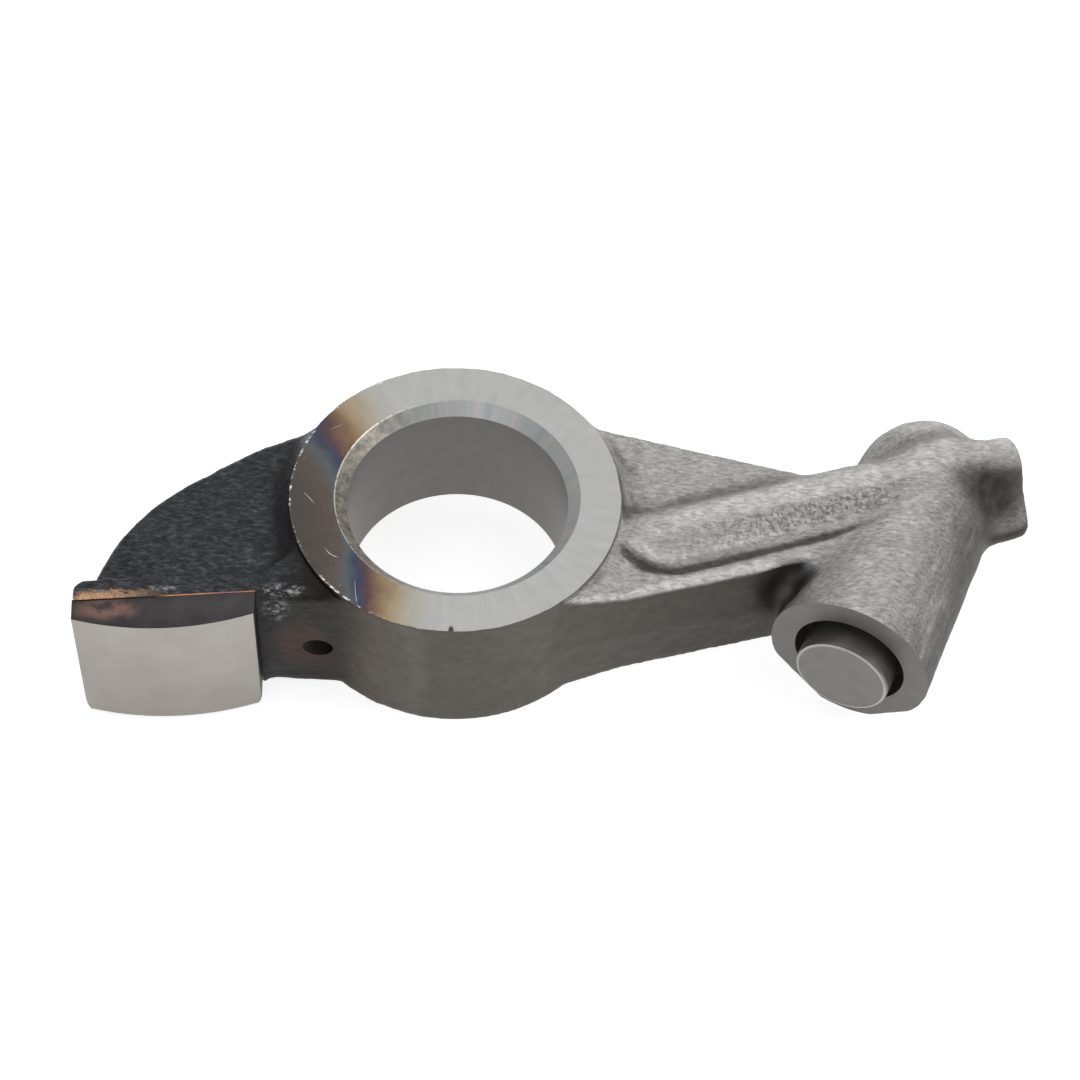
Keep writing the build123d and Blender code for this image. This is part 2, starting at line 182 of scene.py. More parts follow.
def loft(sections: Sequence[Sequence[Vector]]) -> Shape:
    """Closed skin over sections.

    Args:
        sections: Rings of the same number of points, in order along the shape.

    Returns:
        The skin, with both ends closed.
    """
    shape = bmesh.new()
    rings = [[shape.verts.new(point) for point in section] for section in sections]
    loops = []
    for ring in rings:
        loops.append([shape.edges.new((ring[i - 1], corner)) for i, corner in enumerate(ring)])
    for low, high in zip(loops, loops[1:]):
        bmesh.ops.bridge_loops(shape, edges=low + high)
    shape.faces.new(rings[0])
    shape.faces.new(rings[-1])
    bmesh.ops.recalc_face_normals(shape, faces=shape.faces)
    return shape


def plate(outline: Sequence[Point], half_height: float, draft: float) -> Shape:
    """Plate about the parting plane, narrower towards its two faces.

    Args:
        outline: Plan at the parting plane, counter-clockwise.
        half_height: Height of each face from the parting plane.
        draft: Lean of the walls in degrees.

    Returns:
        The closed plate.
    """
    narrow = inset(outline, half_height * math.tan(math.radians(draft)))
    rings = ((narrow, -half_height), (outline, 0.0), (narrow, half_height))
    return loft([[Vector((x, y, z)) for x, y in points] for points, z in rings])


def turned(profile: Sequence[Point], origin: Vector, radial: Vector, axis: Vector, steps: int) -> Shape:
    """Turned shape.

    Args:
        profile: Radius and height of each corner; the ends lie on the axis.
        origin: Where the axis has height 0.
        radial: Direction of the profile's radius.
        axis: Direction of the profile's height.
        steps: Spans round the axis.

    Returns:
        The closed shape.
    """
    shape = bmesh.new()
    corners = [shape.verts.new(origin + radial * radius + axis * height) for radius, height in profile]
    spans = [shape.edges.new(pair) for pair in zip(corners, corners[1:])]
    bmesh.ops.spin(
        shape, geom=corners + spans, cent=origin, axis=axis, angle=math.tau, steps=steps, use_merge=True
    )
    bmesh.ops.remove_doubles(shape, verts=shape.verts, dist=1e-5)
    bmesh.ops.recalc_face_normals(shape, faces=shape.faces)
    return shape


def rod(start: Vector, end: Vector, radius: float, steps: int = 64) -> Shape:
    """Round bar from start to end.

    Args:
        start: Centre of one end.
        end: Centre of the other.
        radius: Its radius.
        steps: Sides of the bar.

    Returns:
        The closed bar.
    """
    shape = bmesh.new()
    direction = end - start
    place = Matrix.Translation((start + end) / 2) @ direction.to_track_quat("Z", "Y").to_matrix().to_4x4()
    sizes = {"radius1": radius, "radius2": radius, "depth": direction.length}
    bmesh.ops.create_cone(shape, cap_ends=True, segments=steps, matrix=place, **sizes)
    return shape


@dataclass(frozen=True)
class Spring:
    """Sizes of a coil spring, with heights from the boss's mouth, and the bodies that its ends press on."""

    name: str
    radius: float
    wire: float
    start: float
    end: float
    turns: int
    bodies: tuple[str, str]
    sides: int = 12
    spans: int = 28  # spans of the coil in a turn


def coil(spring: Spring, origin: Vector, radial: Vector, axis: Vector) -> Shape:
    """Round wire wound into a coil.

    Args:
        spring: Its sizes.
        origin: Where the axis has height 0.
        radial: Direction from the axis to the wire's start.
        axis: Direction in which it is wound.

    Returns:
        The closed coil.
    """
    shape = bmesh.new()
    centre = origin + radial * spring.radius + axis * spring.start
    place = Matrix.Translation(centre) @ Matrix((radial, axis, radial.cross(axis))).transposed().to_4x4()
    bmesh.ops.create_circle(shape, segments=spring.sides, radius=spring.wire, matrix=place)
    steps = spring.turns * spring.spans
    bmesh.ops.spin(
        shape,
        geom=list(shape.verts) + list(shape.edges),
        cent=origin,
        axis=axis,
        dvec=axis * (spring.end - spring.start) / steps,
        angle=math.tau * spring.turns,
        steps=steps,
    )
    bmesh.ops.holes_fill(shape, edges=[edge for edge in shape.edges if edge.is_boundary])
    bmesh.ops.recalc_face_normals(shape, faces=shape.faces)
    return shape


class Workshop:
    """Turns bmesh shapes into objects, and joins, cuts and finishes them."""

    @staticmethod
    def place(shape: Shape, name: str, material: Material | None = None) -> Piece:
        """Puts a shape in the scene as an object.

        Args:
            shape: The shape; it is freed.
            name: Name of the object.
            material: Its only material, if it has one.

        Returns:
            The new object.
        """
        mesh = bpy.data.meshes.new(name)
        shape.to_mesh(mesh)
        shape.free()
        if material:
            mesh.materials.append(material)
        piece = bpy.data.objects.new(name, mesh)
        bpy.context.scene.collection.objects.link(piece)
        return piece

    @staticmethod
    def bake(piece: Piece) -> None:
        """Applies a piece's modifiers to its mesh.

        Args:
            piece: The piece; it gets a new mesh.
        """
        view = bpy.context.evaluated_depsgraph_get()
        mesh = bpy.data.meshes.new_from_object(piece.evaluated_get(view), depsgraph=view)
        piece.modifiers.clear()
        piece.data = mesh

    @staticmethod
    def discard(pieces: Iterable[Piece]) -> None:
        """Removes helper objects from the scene."""
        for piece in pieces:
            bpy.data.objects.remove(piece, do_unlink=True)

    @classmethod
    def cut(cls, piece: Piece, tools: Sequence[Piece], cut: Cut) -> None:
        """Cuts a piece with tools, which are removed afterwards.

        Args:
            piece: The piece that is cut.
            tools: Closed shapes; their materials go onto the faces that they leave.
            cut: Whether the tools are taken away or the common part is kept.
        """
        for tool in tools:
            step = piece.modifiers.new("cut", "BOOLEAN")
            step.operation = cut.value
            step.solver = "MANIFOLD"
            step.material_mode = "TRANSFER"
            step.object = tool
            cls.bake(piece)
            LOG.info("%s: %d faces", tool.name, len(piece.data.polygons))
        cls.discard(tools)

    @classmethod
    def fuse(cls, pieces: Sequence[Piece], voxel: float, name: str) -> Piece:
        """Joins closed shapes into one even skin.

        Args:
            pieces: Shapes that overlap; they are removed afterwards.
            voxel: Size of the new skin's faces.
            name: Name of the new piece.

        Returns:
            The fused piece.
        """
        joined = bmesh.new()
        for piece in pieces:
            joined.from_mesh(piece.data)
        cls.discard(pieces)
        fused = cls.place(joined, name)
        step = fused.modifiers.new("fuse", "REMESH")
        step.mode = "VOXEL"
        step.voxel_size = voxel
        cls.bake(fused)
        return fused

    @staticmethod
    def finish(
        piece: Piece,
        body: str,
        slot: Slot,
        nodes: Sequence[str],
        crisp: float = 35.0,
        far_end: tuple[str, Vector, Vector] | None = None,
    ) -> None:
        """Scales a piece to metres, shades it and ties it to the frame.

        Args:
            piece: The shaped piece.
            body: CAD body that it rides on.
            slot: Record slot of its finish; not used.
            nodes: CAD nodes that it stands for.
            crisp: Angle in degrees over which an edge stays sharp.
            far_end: The body of a springy piece's other end, and where its give would start and end; only
                whether it is given is read, and such a piece is left in place, not tied to a body.
        """
        piece.data.transform(Matrix.Scale(MM, 4))
        piece.data.shade_smooth()
        piece.data.set_sharp_from_angle(angle=math.radians(crisp))
        piece.data.update()
        if far_end:
            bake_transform(piece)
        else:
            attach(piece, body)
        if nodes:
            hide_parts(*nodes)


class Skin:
    """Dense skin whose vertices are moved all at once."""

    def __init__(self, mesh: bpy.types.Mesh) -> None:
        """Reads a mesh.

        Args:
            mesh: The skin.
        """
        self.mesh = mesh
        self.count = len(mesh.vertices)
        self.points = self.read("co")
        ends = np.empty(len(mesh.edges) * 2, np.int32)
        mesh.edges.foreach_get("vertices", ends)
        self.first, self.second = ends[0::2], ends[1::2]
        self.valence = np.bincount(ends, minlength=self.count)[:, None]

    def read(self, name: str) -> np.ndarray:
        """Reads a vector of each vertex.

        Args:
            name: What is read, such as the place or the normal.

        Returns:
            The vectors, one row each.
        """
        values = np.empty(self.count * 3)
        self.mesh.vertices.foreach_get(name, values)
        return values.reshape(-1, 3)

    def write(self) -> None:
        """Puts the moved points into the mesh."""
        self.mesh.vertices.foreach_set("co", self.points.ravel())
        self.mesh.update()

    def mean(self, values: np.ndarray) -> np.ndarray:
        """Mean of the neighbours' values at each vertex.

        Args:
            values: One row for each vertex.

        Returns:
            The means, one row for each vertex.
        """
        total = np.empty_like(values)
        for i, column in enumerate(values.T):
            total[:, i] = np.bincount(self.first, column[self.second], self.count)
            total[:, i] += np.bincount(self.second, column[self.first], self.count)
        return total / self.valence

    def relax(self, passes: int, creases_only: bool = False, share: np.ndarray | float = 1.0) -> None:
        """Moves each vertex towards its neighbours, which rounds the skin.

        Args:
            passes: How often it is done; more passes give larger radii.
            creases_only: Fills the hollow creases and leaves the outward corners.
            share: How much of it is done, for the whole skin or at each vertex.
        """
        for _ in range(passes):
            pull = (self.mean(self.points) - self.points) * np.reshape(share, (-1, 1))
            if creases_only:
                outward = np.einsum("ij,ij->i", pull, self.read("normal"))
                pull *= (outward > 0)[:, None]
            self.points += pull / 2
            self.write()

    def hollows(self, passes: int) -> np.ndarray:
        """How deep each vertex lies in a hollow.

        Args:
            passes: How far the skin is smoothed for the comparison.

        Returns:
            The depths in millimetres; crests are negative.
        """
        soft = self.points
        for _ in range(passes):
            soft = soft + (self.mean(soft) - soft) / 2
        return np.einsum("ij,ij->i", soft - self.points, self.read("normal"))

    def facing(self) -> np.ndarray:
        """How far the faces of the first material at each vertex face up or down.

        Returns:
            0 for a wall and 1 for a level face.
        """
        faces, loops = self.mesh.polygons, self.mesh.loops
        sides, kinds = np.empty(len(faces), np.int32), np.empty(len(faces), np.int32)
        normals, corners = np.empty(len(faces) * 3), np.empty(len(loops), np.int32)
        faces.foreach_get("loop_total", sides)
        faces.foreach_get("material_index", kinds)
        faces.foreach_get("normal", normals)
        loops.foreach_get("vertex_index", corners)
        first = (kinds == 0).astype(float)
        total = np.bincount(corners, np.repeat(np.abs(normals[2::3]) * first, sides), self.count)
        return total / np.maximum(np.bincount(corners, np.repeat(first, sides), self.count), 1)

    def patch(self, name: str, passes: int) -> None:
        """Fills the gaps that a cut leaves in a stored number, from the neighbours.

        Args:
            name: The stored number.
            passes: How far it is carried into the gaps.
        """
        layer = self.mesh.attributes[name].data
        values = np.empty(self.count)
        layer.foreach_get("value", values)
        gaps = values == 0
        for _ in range(passes):
            values[gaps] = self.mean(values[:, None])[gaps, 0]
        layer.foreach_set("value", values)

    def mark(self, name: str, values: np.ndarray) -> None:
        """Stores a number for each vertex, for a material to read."""
        layer = self.mesh.attributes.new(name, "FLOAT", "POINT")
        layer.data.foreach_set("value", values)


class Canvas:
    """Builds the nodes of one material."""

    def __init__(self, name: str) -> None:
        """Starts a material with a plain shader.

        Args:
            name: Name of the material.
        """
        self.material = bpy.data.materials.new(name)
        self.material.use_nodes = True
        self.tree = self.material.node_tree
        self.shader = self.tree.nodes["Principled BSDF"]

    def node(
        self, kind: str, inputs: dict[str | int, object] | None = None, **settings: object
    ) -> bpy.types.Node:
        """Adds a node.

        Args:
            kind: Type name of the node.
            inputs: Values or sockets for its inputs.
            **settings: Properties of the node.

        Returns:
            The new node.
        """
        node = self.tree.nodes.new(kind)
        for name, value in settings.items():
            setattr(node, name, value)
        for key, value in (inputs or {}).items():
            self.feed(node.inputs[key], value)
        return node

    def feed(self, socket: Socket, value: object) -> None:
        """Links a socket into an input, or sets the input's value.

        Args:
            socket: The input.
            value: A socket, a number, a vector or a colour.
        """
        if isinstance(value, Socket):
            self.tree.links.new(value, socket)
        elif isinstance(value, tuple) and len(value) == 3 and socket.type == "RGBA":
            socket.default_value = (*value, 1.0)
        else:
            socket.default_value = value

    def shade(self, **inputs: object) -> Material:
        """Feeds the shader.

        Args:
            **inputs: Values by the inputs' names; an underscore stands for a space.

        Returns:
            The finished material.
        """
        for name, value in inputs.items():
            self.feed(self.shader.inputs[name.replace("_", " ")], value)
        return self.material

    def place(self) -> Socket:
        """Position on the object in millimetres."""
        return self.scaled(self.node("ShaderNodeTexCoord").outputs["Object"], 1 / MM)

    def stored(self, name: str) -> Socket:
        """Number that the mesh stores at each vertex."""
        return self.node("ShaderNodeAttribute", attribute_name=name).outputs["Fac"]

    def scaled(self, vector: Vectorial, factor: Value) -> Socket:
        """A vector times a number."""
        return self.node("ShaderNodeVectorMath", {0: vector, "Scale": factor}, operation="SCALE").outputs[0]

    def vector(self, operation: str, first: Vectorial, second: Vectorial) -> Socket:
        """Result of one sum on two vectors."""
        return self.node("ShaderNodeVectorMath", {0: first, 1: second}, operation=operation).outputs[0]

    def combine(self, x: Value, y: Value = 0.0, z: Value = 0.0) -> Socket:
        """Vector made of its three parts."""
        return self.node("ShaderNodeCombineXYZ", {0: x, 1: y, 2: z}).outputs[0]

    def axes(self, vector: Socket) -> list[Socket]:
        """The three parts of a vector."""
        return list(self.node("ShaderNodeSeparateXYZ", {0: vector}).outputs)

    def length(self, vector: Socket) -> Socket:
        """Length of a vector."""
        return self.node("ShaderNodeVectorMath", {0: vector}, operation="LENGTH").outputs["Value"]

    def stretch(self, vector: Socket, scale: Spot) -> Socket:
        """A position scaled along each axis."""
        return self.node("ShaderNodeMapping", {"Vector": vector, "Scale": scale}).outputs[0]

    def math(self, operation: str, first: Value, second: Value = 0.0, third: Value = 0.0) -> Socket:
        """Result of one sum on up to three values."""
        inputs = {0: first, 1: second, 2: third}
        return self.node("ShaderNodeMath", inputs, operation=operation).outputs[0]

    def line(self, value: Value, slope: float, start: Value) -> Socket:
        """A value times a slope, plus a start."""
        return self.math("MULTIPLY_ADD", value, slope, start)

    def product(self, *factors: Value) -> Value:
        """Product of numbers.

        Args:
            *factors: The numbers.

        Returns:
            The product, or a single factor as it is.
        """
        result, *others = factors
        for factor in others:
            result = self.math("MULTIPLY", result, factor)
        return result

    def noise(self, vector: Socket, scale: float, detail: float = 3.0, rough: float = 0.55) -> Socket:
        """Soft noise from 0 to 1."""
        inputs = {"Vector": vector, "Scale": scale, "Detail": detail, "Roughness": rough}
        return self.node("ShaderNodeTexNoise", inputs).outputs["Fac"]

    def step(self, value: Value, low: float, high: float) -> Socket:
        """Smooth step.

        Args:
            value: The value.
            low: Where the step is 0.
            high: Where it is 1; it may lie below low.

        Returns:
            The strength from 0 to 1.
        """
        ends = {"Value": value, "From Min": min(low, high), "From Max": max(low, high)}
        if low > high:
            ends |= {"To Min": 1.0, "To Max": 0.0}
        return self.node("ShaderNodeMapRange", ends, interpolation_type="SMOOTHSTEP").outputs[0]

    def band(self, value: Value, start: float, full: float, fade: float, end: float) -> Value:
        """Soft band: 1 from full to fade, and 0 up to start and from end onwards."""
        return self.product(self.step(value, start, full), self.step(value, end, fade))

    def near(self, spot: Socket, centre: Spot, reach: Spot) -> Socket:
        """Soft spot: 1 at its centre, 0 from its reach outwards.

        Args:
            spot: Position in millimetres.
            centre: Middle of the soft spot.
            reach: Its half size along each axis.

        Returns:
            The strength from 0 to 1.
        """
        away = self.vector("DIVIDE", self.vector("SUBTRACT", spot, centre), reach)
        return self.step(self.length(away), 1.0, 0.35)

    def hairlines(self, spot: Socket, scale: float, width: float) -> Socket:
        """Fine curved scratches, 1 on the line.

        Args:
            spot: Position in millimetres.
            scale: How densely they lie.
            width: Share of the noise's range that counts as the line.

        Returns:
            The strength from 0 to 1.
        """
        field = self.noise(spot, scale, 0.0)
        return self.step(self.math("ABSOLUTE", self.math("SUBTRACT", field, 0.5)), width, width / 3)

    def ramp(self, value: Value, stops: Stops) -> Socket:
        """Colour for a value.

        Args:
            value: The value.
            stops: Value and colour of each stop, in rising order.

        Returns:
            The colour, even beyond the first and the last stop.
        """
        low, high = stops[0][0], stops[-1][0]
        ends = {"Value": value, "From Min": low, "From Max": high}
        node = self.node("ShaderNodeValToRGB", {0: self.node("ShaderNodeMapRange", ends).outputs[0]})
        elements = node.color_ramp.elements
        while len(elements) < len(stops):
            elements.new(1.0)
        for element, (position, _) in zip(elements, stops):
            element.position = (position - low) / (high - low)
        for element, (_, colour) in zip(elements, stops):
            element.color = (*colour, 1.0)
        return node.outputs[0]

    def mix(self, amount: Value, first: Tint, second: Tint, blend: str = "MIX") -> Socket:
        """Blends two colours.

        Args:
            amount: Strength of the second colour, from 0 to 1.
            first: The colour below.
            second: The colour on top.
            blend: How they are blended.

        Returns:
            The blended colour.
        """
        node = self.node("ShaderNodeMix", data_type="RGBA", blend_type=blend)
        self.feed(node.inputs["Factor"], amount)
        self.feed(node.inputs[6], first)
        self.feed(node.inputs[7], second)
        return node.outputs[2]

    def paint(self, colour: Tint, coat: Tint, *shares: Value) -> Socket:
        """Covers a colour with a coat, as strongly as the product of the shares."""
        return self.mix(self.product(*shares), colour, coat)

    def tone(self, colour: Tint, factor: Tint, *shares: Value) -> Socket:
        """Multiplies a colour by a factor, as strongly as the product of the shares."""
        return self.mix(self.product(*shares), colour, factor, "MULTIPLY")

    def bump(self, height: Value, distance: float, strength: Value = 1.0) -> Socket:
        """Surface normal with relief; distance is the height of 1 in millimetres."""
        inputs = {"Height": height, "Distance": distance * MM, "Strength": strength}
        return self.node("ShaderNodeBump", inputs).outputs[0]


class ForgedCanvas(Canvas):
    """Nodes of the forged skin, with the places and strengths that its layers share."""

    def __init__(self, across: Point, gallery_offset: float) -> None:
        """Makes what the layers share.

        Args:
            across: Direction across the oil gallery, towards the arm's back.
            gallery_offset: Distance of the gallery from the shaft's axis.
        """
        super().__init__("forged_skin")
        self.spot = self.place()
        self.x, self.y, self.z = self.axes(self.spot)
        self.height = self.math("ABSOLUTE", self.z)
        self.out = self.line(self.y, across[1], self.line(self.x, across[0], gallery_offset))
        self.along = self.line(self.y, -across[0], self.product(self.x, across[1]))
        self.hollow = self.stored("hollow")
        self.level = self.step(self.stored("facing"), 0.15, 0.8)
        # Flecks and patches, from coarse to fine
        sway = self.scaled((0.0, 0.9, 0.9), self.noise(self.spot, 0.5, 2.0))
        wavy = self.stretch(self.vector("ADD", self.spot, sway), (0.8, 2.5, 2.5))
        self.mottle = self.noise(self.spot, 0.7, 3.0, 0.6)
        self.fleck = self.noise(wavy, 1.6, 3.5, 0.62)
        self.rub = self.noise(self.stretch(self.spot, (0.8, 1.3, 1.0)), 1.7, 5.0, 0.7)
        self.grain = self.noise(self.stretch(self.spot, (1.0, 1.6, 1.6)), 6.5, 3.0, 0.6)
        # Place along the arm with a ragged front: scale up to about -13, clean steel from about -1.5
        cloud = self.noise(self.spot, 0.16, 3.0, 0.55)
        self.heat = self.line(cloud, 3.4, self.math("ADD", self.x, -1.7))
        self.hot = self.step(self.heat, -9.0, -13.0)
        self.cool = self.step(self.heat, -7.0, -1.5)
        self.hot_top = self.product(self.hot, self.level)


@dataclass(frozen=True)
class ForgedSkin:
    """Shot-blasted forging, scorched to dark scale towards the cam pad, with scrapes, copper stains, painted
    shade and painted highlights.
    """

    clean: Colour = (0.47, 0.46, 0.45)
    # painted shade: the walls are painted darker than the level faces, and darker still towards the right
    shaded_wall: Colour = (0.128, 0.115, 0.097)
    far_shaded_wall: Colour = (0.066, 0.057, 0.047)
    scale: Colour = (0.052, 0.054, 0.059)
    scale_wall_shade: Colour = (0.42, 0.38, 0.35)  # painted shade: darkens the scale on the walls
    # painted shade: darkens the hollows, the grooves, the dent beside the boss and the band beside the hub
    painted_shade: Colour = (0.030, 0.028, 0.027)
    # darker patch on the neck
    neck_dark: Colour = (0.020, 0.017, 0.015)
    # pits on the rib's front, with painted shade on that slope
    pit_and_shade: Colour = (0.09, 0.085, 0.08)
    lug_flank: Colour = (0.54, 0.52, 0.495)  # painted shade: darkens the lug's front
    # painted shadow under the lug's crown
    lug_shadow: Colour = (0.036, 0.031, 0.027)
    boss_side_shade: Colour = (0.50, 0.485, 0.465)  # painted shade: darkens the boss's right side
    scrape: Colour = (0.38, 0.38, 0.38)
    copper: Colour = (0.66, 0.36, 0.20)
    ember: Colour = (0.13, 0.05, 0.035)
    across: Point = (-0.3223, 0.9466)  # direction across the oil gallery's rib
    gallery_offset: float = 7.8
    rib_corner: Point = (17.7, 0.8)  # centre of the rib's round corner, along and across the gallery
    rib_corner_r: float = 5.6
    boss_foot: Point = (35.68, -11.32)  # middle of the boss's mouth
    boss_side: Point = (0.9259, -0.3778)  # direction across the boss, to the right
    seat_left: Point = (-32.95, -13.3)  # left end of the pad's seat
    seat_slope: float = 0.118

    def bare(self, c: ForgedCanvas) -> Socket:
        """Clean steel on the right, and the heat's tints and scale towards the pad, with the walls painted
        darker than the level faces as shade.

        Args:
            c: The material's nodes.

        Returns:
            The colour.
        """
        stops = (
            (-15.0, self.scale),
            (-12.5, (0.036, 0.026, 0.023)),
            (-10.0, (0.052, 0.038, 0.031)),
            (-7.5, (0.098, 0.076, 0.054)),
            (-4.5, (0.140, 0.122, 0.098)),
            (-1.0, self.clean),
        )
        tint = c.ramp(c.heat, stops)
        # painted shade: walls get the darker colours and level faces the clean steel
        steel = c.mix(c.level, c.mix(c.step(c.x, 6.0, 27.0), self.shaded_wall, self.far_shaded_wall), self.clean)
        # painted shade: in the scale, the walls are painted darker than the level faces
        burnt = c.mix(c.product(c.level, c.step(c.heat, -10.0, -14.0)), self.scale_wall_shade, WHITE)
        tint = c.mix(c.step(c.heat, -6.0, -11.0), tint, c.tone(tint, burnt, 1.0))
        return c.mix(c.cool, tint, steel)

    def flecks(self, c: ForgedCanvas, colour: Socket) -> Socket:
        """Flecks of the blasted skin, the scale's coarser ones, and large patches; on level faces the flecks
        are partly painted glints.

        Args:
            c: The material's nodes.
            colour: Colour so far.

        Returns:
            The new colour.
        """
        # flecks: the skin's own mottle, and on level faces partly painted glints
        shade = c.ramp(c.fleck, ((0.3, (0.66, 0.65, 0.65)), (0.5, WHITE), (0.7, grey(1.35))))
        shown = c.product(c.level, c.line(c.hot, -0.5, 1.0))
        colour = c.tone(colour, shade, c.line(shown, 0.78, 0.2))
        # coarser flecks of the scale on level faces: partly their own tone, partly painted glints
        scaly = c.ramp(c.fleck, ((0.36, (0.68, 0.68, 0.69)), (0.50, grey(0.88)), (0.66, grey(1.6))))
        colour = c.tone(colour, scaly, c.hot_top)
        patches = c.ramp(c.mottle, ((0.32, grey(0.78)), (0.5, WHITE), (0.68, grey(1.16))))
        return c.tone(colour, patches, c.line(c.hot, 0.5, 0.5))

    def hub_shade_and_dark_neck(self, c: ForgedCanvas, colour: Socket) -> Socket:
        """Painted shade in a band beside the hub, and a darker patch on the neck.

        Args:
            c: The material's nodes.
            colour: Colour so far.

        Returns:
            The new colour.
        """
        hub = c.length(c.stretch(c.spot, (1.0, 1.0, 0.0)))
        # painted shade: the band beside the hub, where the fillet lies in shade
        colour = c.paint(colour, self.painted_shade, c.step(hub, 18.2, 15.4), c.step(c.x, -5.0, -10.0), c.level, 0.55)
        # darker patch on the neck
        return c.paint(colour, self.neck_dark, c.near(c.spot, (-12.6, -11.2, 4.6), (6.0, 3.4, 9.0)), 0.62)

    def rib(self, c: ForgedCanvas, colour: Socket) -> Socket:
        """Pits and painted shade on the rib's front, a painted highlight on its ridge and painted shade on
        the foot behind it.

        Args:
            c: The material's nodes.
            colour: Colour so far.

        Returns:
            The new colour.
        """
        on_rib = c.product(c.step(c.x, 14.0, 22.0), c.step(c.height, 4.5, 5.5))
        front = c.product(c.band(c.out, -4.2, -3.2, -1.7, -0.6), on_rib, c.band(c.x, 12.0, 34.0, 36.0, 44.0))
        pits = c.step(c.noise(c.stretch(c.spot, (1.5, 1.1, 1.1)), 1.9, 5.0, 0.7), 0.56, 0.40)
        # pits, and painted shade on the rib's front slope
        colour = c.paint(colour, self.pit_and_shade, pits, front, 0.72)
        ridge = c.band(c.out, -1.8, -0.3, 0.8, 1.9)
        # painted highlight along the rib's ridge
        colour = c.tone(colour, grey(1.28), ridge, on_rib, c.step(c.x, 49.0, 43.0))
        # painted shade on the foot behind the ridge
        return c.tone(colour, (0.60, 0.59, 0.58), c.band(c.out, 1.5, 2.6, 3.4, 4.6), on_rib, 0.75)

    def creases(self, c: ForgedCanvas, colour: Socket) -> Socket:
        """Painted shade in the hollows, and a painted highlight on the crests.

        Args:
            c: The material's nodes.
            colour: Colour so far.

        Returns:
            The new colour.
        """
        # painted shade in the hollows
        colour = c.paint(colour, self.painted_shade, c.step(c.hollow, 0.01, 0.12), 0.68)
        # painted highlight on the crests
        crest = c.product(c.step(c.hollow, -0.01, -0.08), c.level, c.cool, c.step(c.height, 4.9, 5.4))
        return c.tone(colour, grey(1.4), crest)

    def grooves(self, c: ForgedCanvas, colour: Socket) -> Socket:
        """Painted shade in the groove round the rib's foot and in the dent beside the boss.

        Args:
            c: The material's nodes.
            colour: Colour so far.

        Returns:
            The new colour.
        """
        short = c.math("MINIMUM", c.math("SUBTRACT", c.along, self.rib_corner[0]), 0.0)
        side = c.math("MINIMUM", c.math("SUBTRACT", c.out, self.rib_corner[1]), 0.0)
        away = c.math("SQRT", c.math("ADD", c.math("POWER", short, 2.0), c.math("POWER", side, 2.0)))
        foot = c.math("ABSOLUTE", c.math("SUBTRACT", away, self.rib_corner_r))
        run = c.product(c.band(c.along, 12.0, 14.5, 31.0, 38.0), c.step(c.height, 4.8, 5.2))
        # painted shade in the groove round the rib's foot
        colour = c.paint(colour, self.painted_shade, c.step(foot, 0.55, 0.12), run, 0.5)
        # painted shade in the dent beside the boss
        return c.paint(colour, self.painted_shade, c.near(c.spot, (30.6, -5.5, 4.6), (2.8, 1.9, 2.8)), 0.85)

    def lug(self, c: ForgedCanvas, colour: Socket) -> Socket:
        """Painted shade on the lug's front, with a painted shadow under its crown.

        Args:
            c: The material's nodes.
            colour: Colour so far.

        Returns:
            The new colour.
        """
        # painted shade on the lug's front
        colour = c.tone(colour, self.lug_flank, c.step(c.x, 43.0, 47.0), c.step(c.out, 1.0, -2.0), 0.9)
        # painted shadow under the lug's crown
        patch = c.near(c.spot, (47.8, 5.2, 3.7), (6.3, 3.6, 4.2))
        return c.paint(colour, self.lug_shadow, patch, c.line(c.mottle, 0.9, 0.5), 0.95)

    def boss(self, c: ForgedCanvas, colour: Socket) -> Socket:
        """Painted shade in streaks down the right side of the boss.

        Args:
            c: The material's nodes.
            colour: Colour so far.

        Returns:
            The new colour.
        """
        off_x = c.math("SUBTRACT", c.x, self.boss_foot[0])
        off_y = c.math("SUBTRACT", c.y, self.boss_foot[1])
        right = c.line(off_x, self.boss_side[0], c.product(off_y, self.boss_side[1]))
        deep = c.line(off_x, -self.boss_side[1], c.product(off_y, self.boss_side[0]))
        lines = c.noise(c.combine(right, c.product(deep, 0.15), c.z), 1.1, 3.0)
        # painted shade, in streaks, on the boss's right side
        flank = c.product(c.step(right, 1.0, 5.8), c.step(deep, 19.0, 14.0), c.step(c.x, 33.0, 36.0))
        return c.tone(colour, self.boss_side_shade, flank, c.step(lines, 0.20, 0.56))

    def scrapes(self, c: ForgedCanvas, colour: Socket) -> Socket:
        """Bright scrapes on the neck and along the shelf.

        Args:
            c: The material's nodes.
            colour: Colour so far.

        Returns:
            The new colour.
        """
        first, *others = (
            c.near(c.spot, (-14.8, -10.9, 6.5), (2.6, 0.9, 0.5)),
            c.near(c.spot, (-15.4, -11.9, 4.9), (1.5, 0.6, 2.4)),
            c.near(c.spot, (-25.2, -11.6, 7.0), (1.6, 0.5, 0.6)),
            c.near(c.spot, (-31.0, -12.4, 7.0), (2.4, 0.5, 0.6)),
        )
        tone_change = first
        for scrape in others:
            tone_change = c.math("MAXIMUM", tone_change, scrape)
        return c.paint(colour, self.scrape, tone_change, c.step(c.rub, 0.47, 0.62))

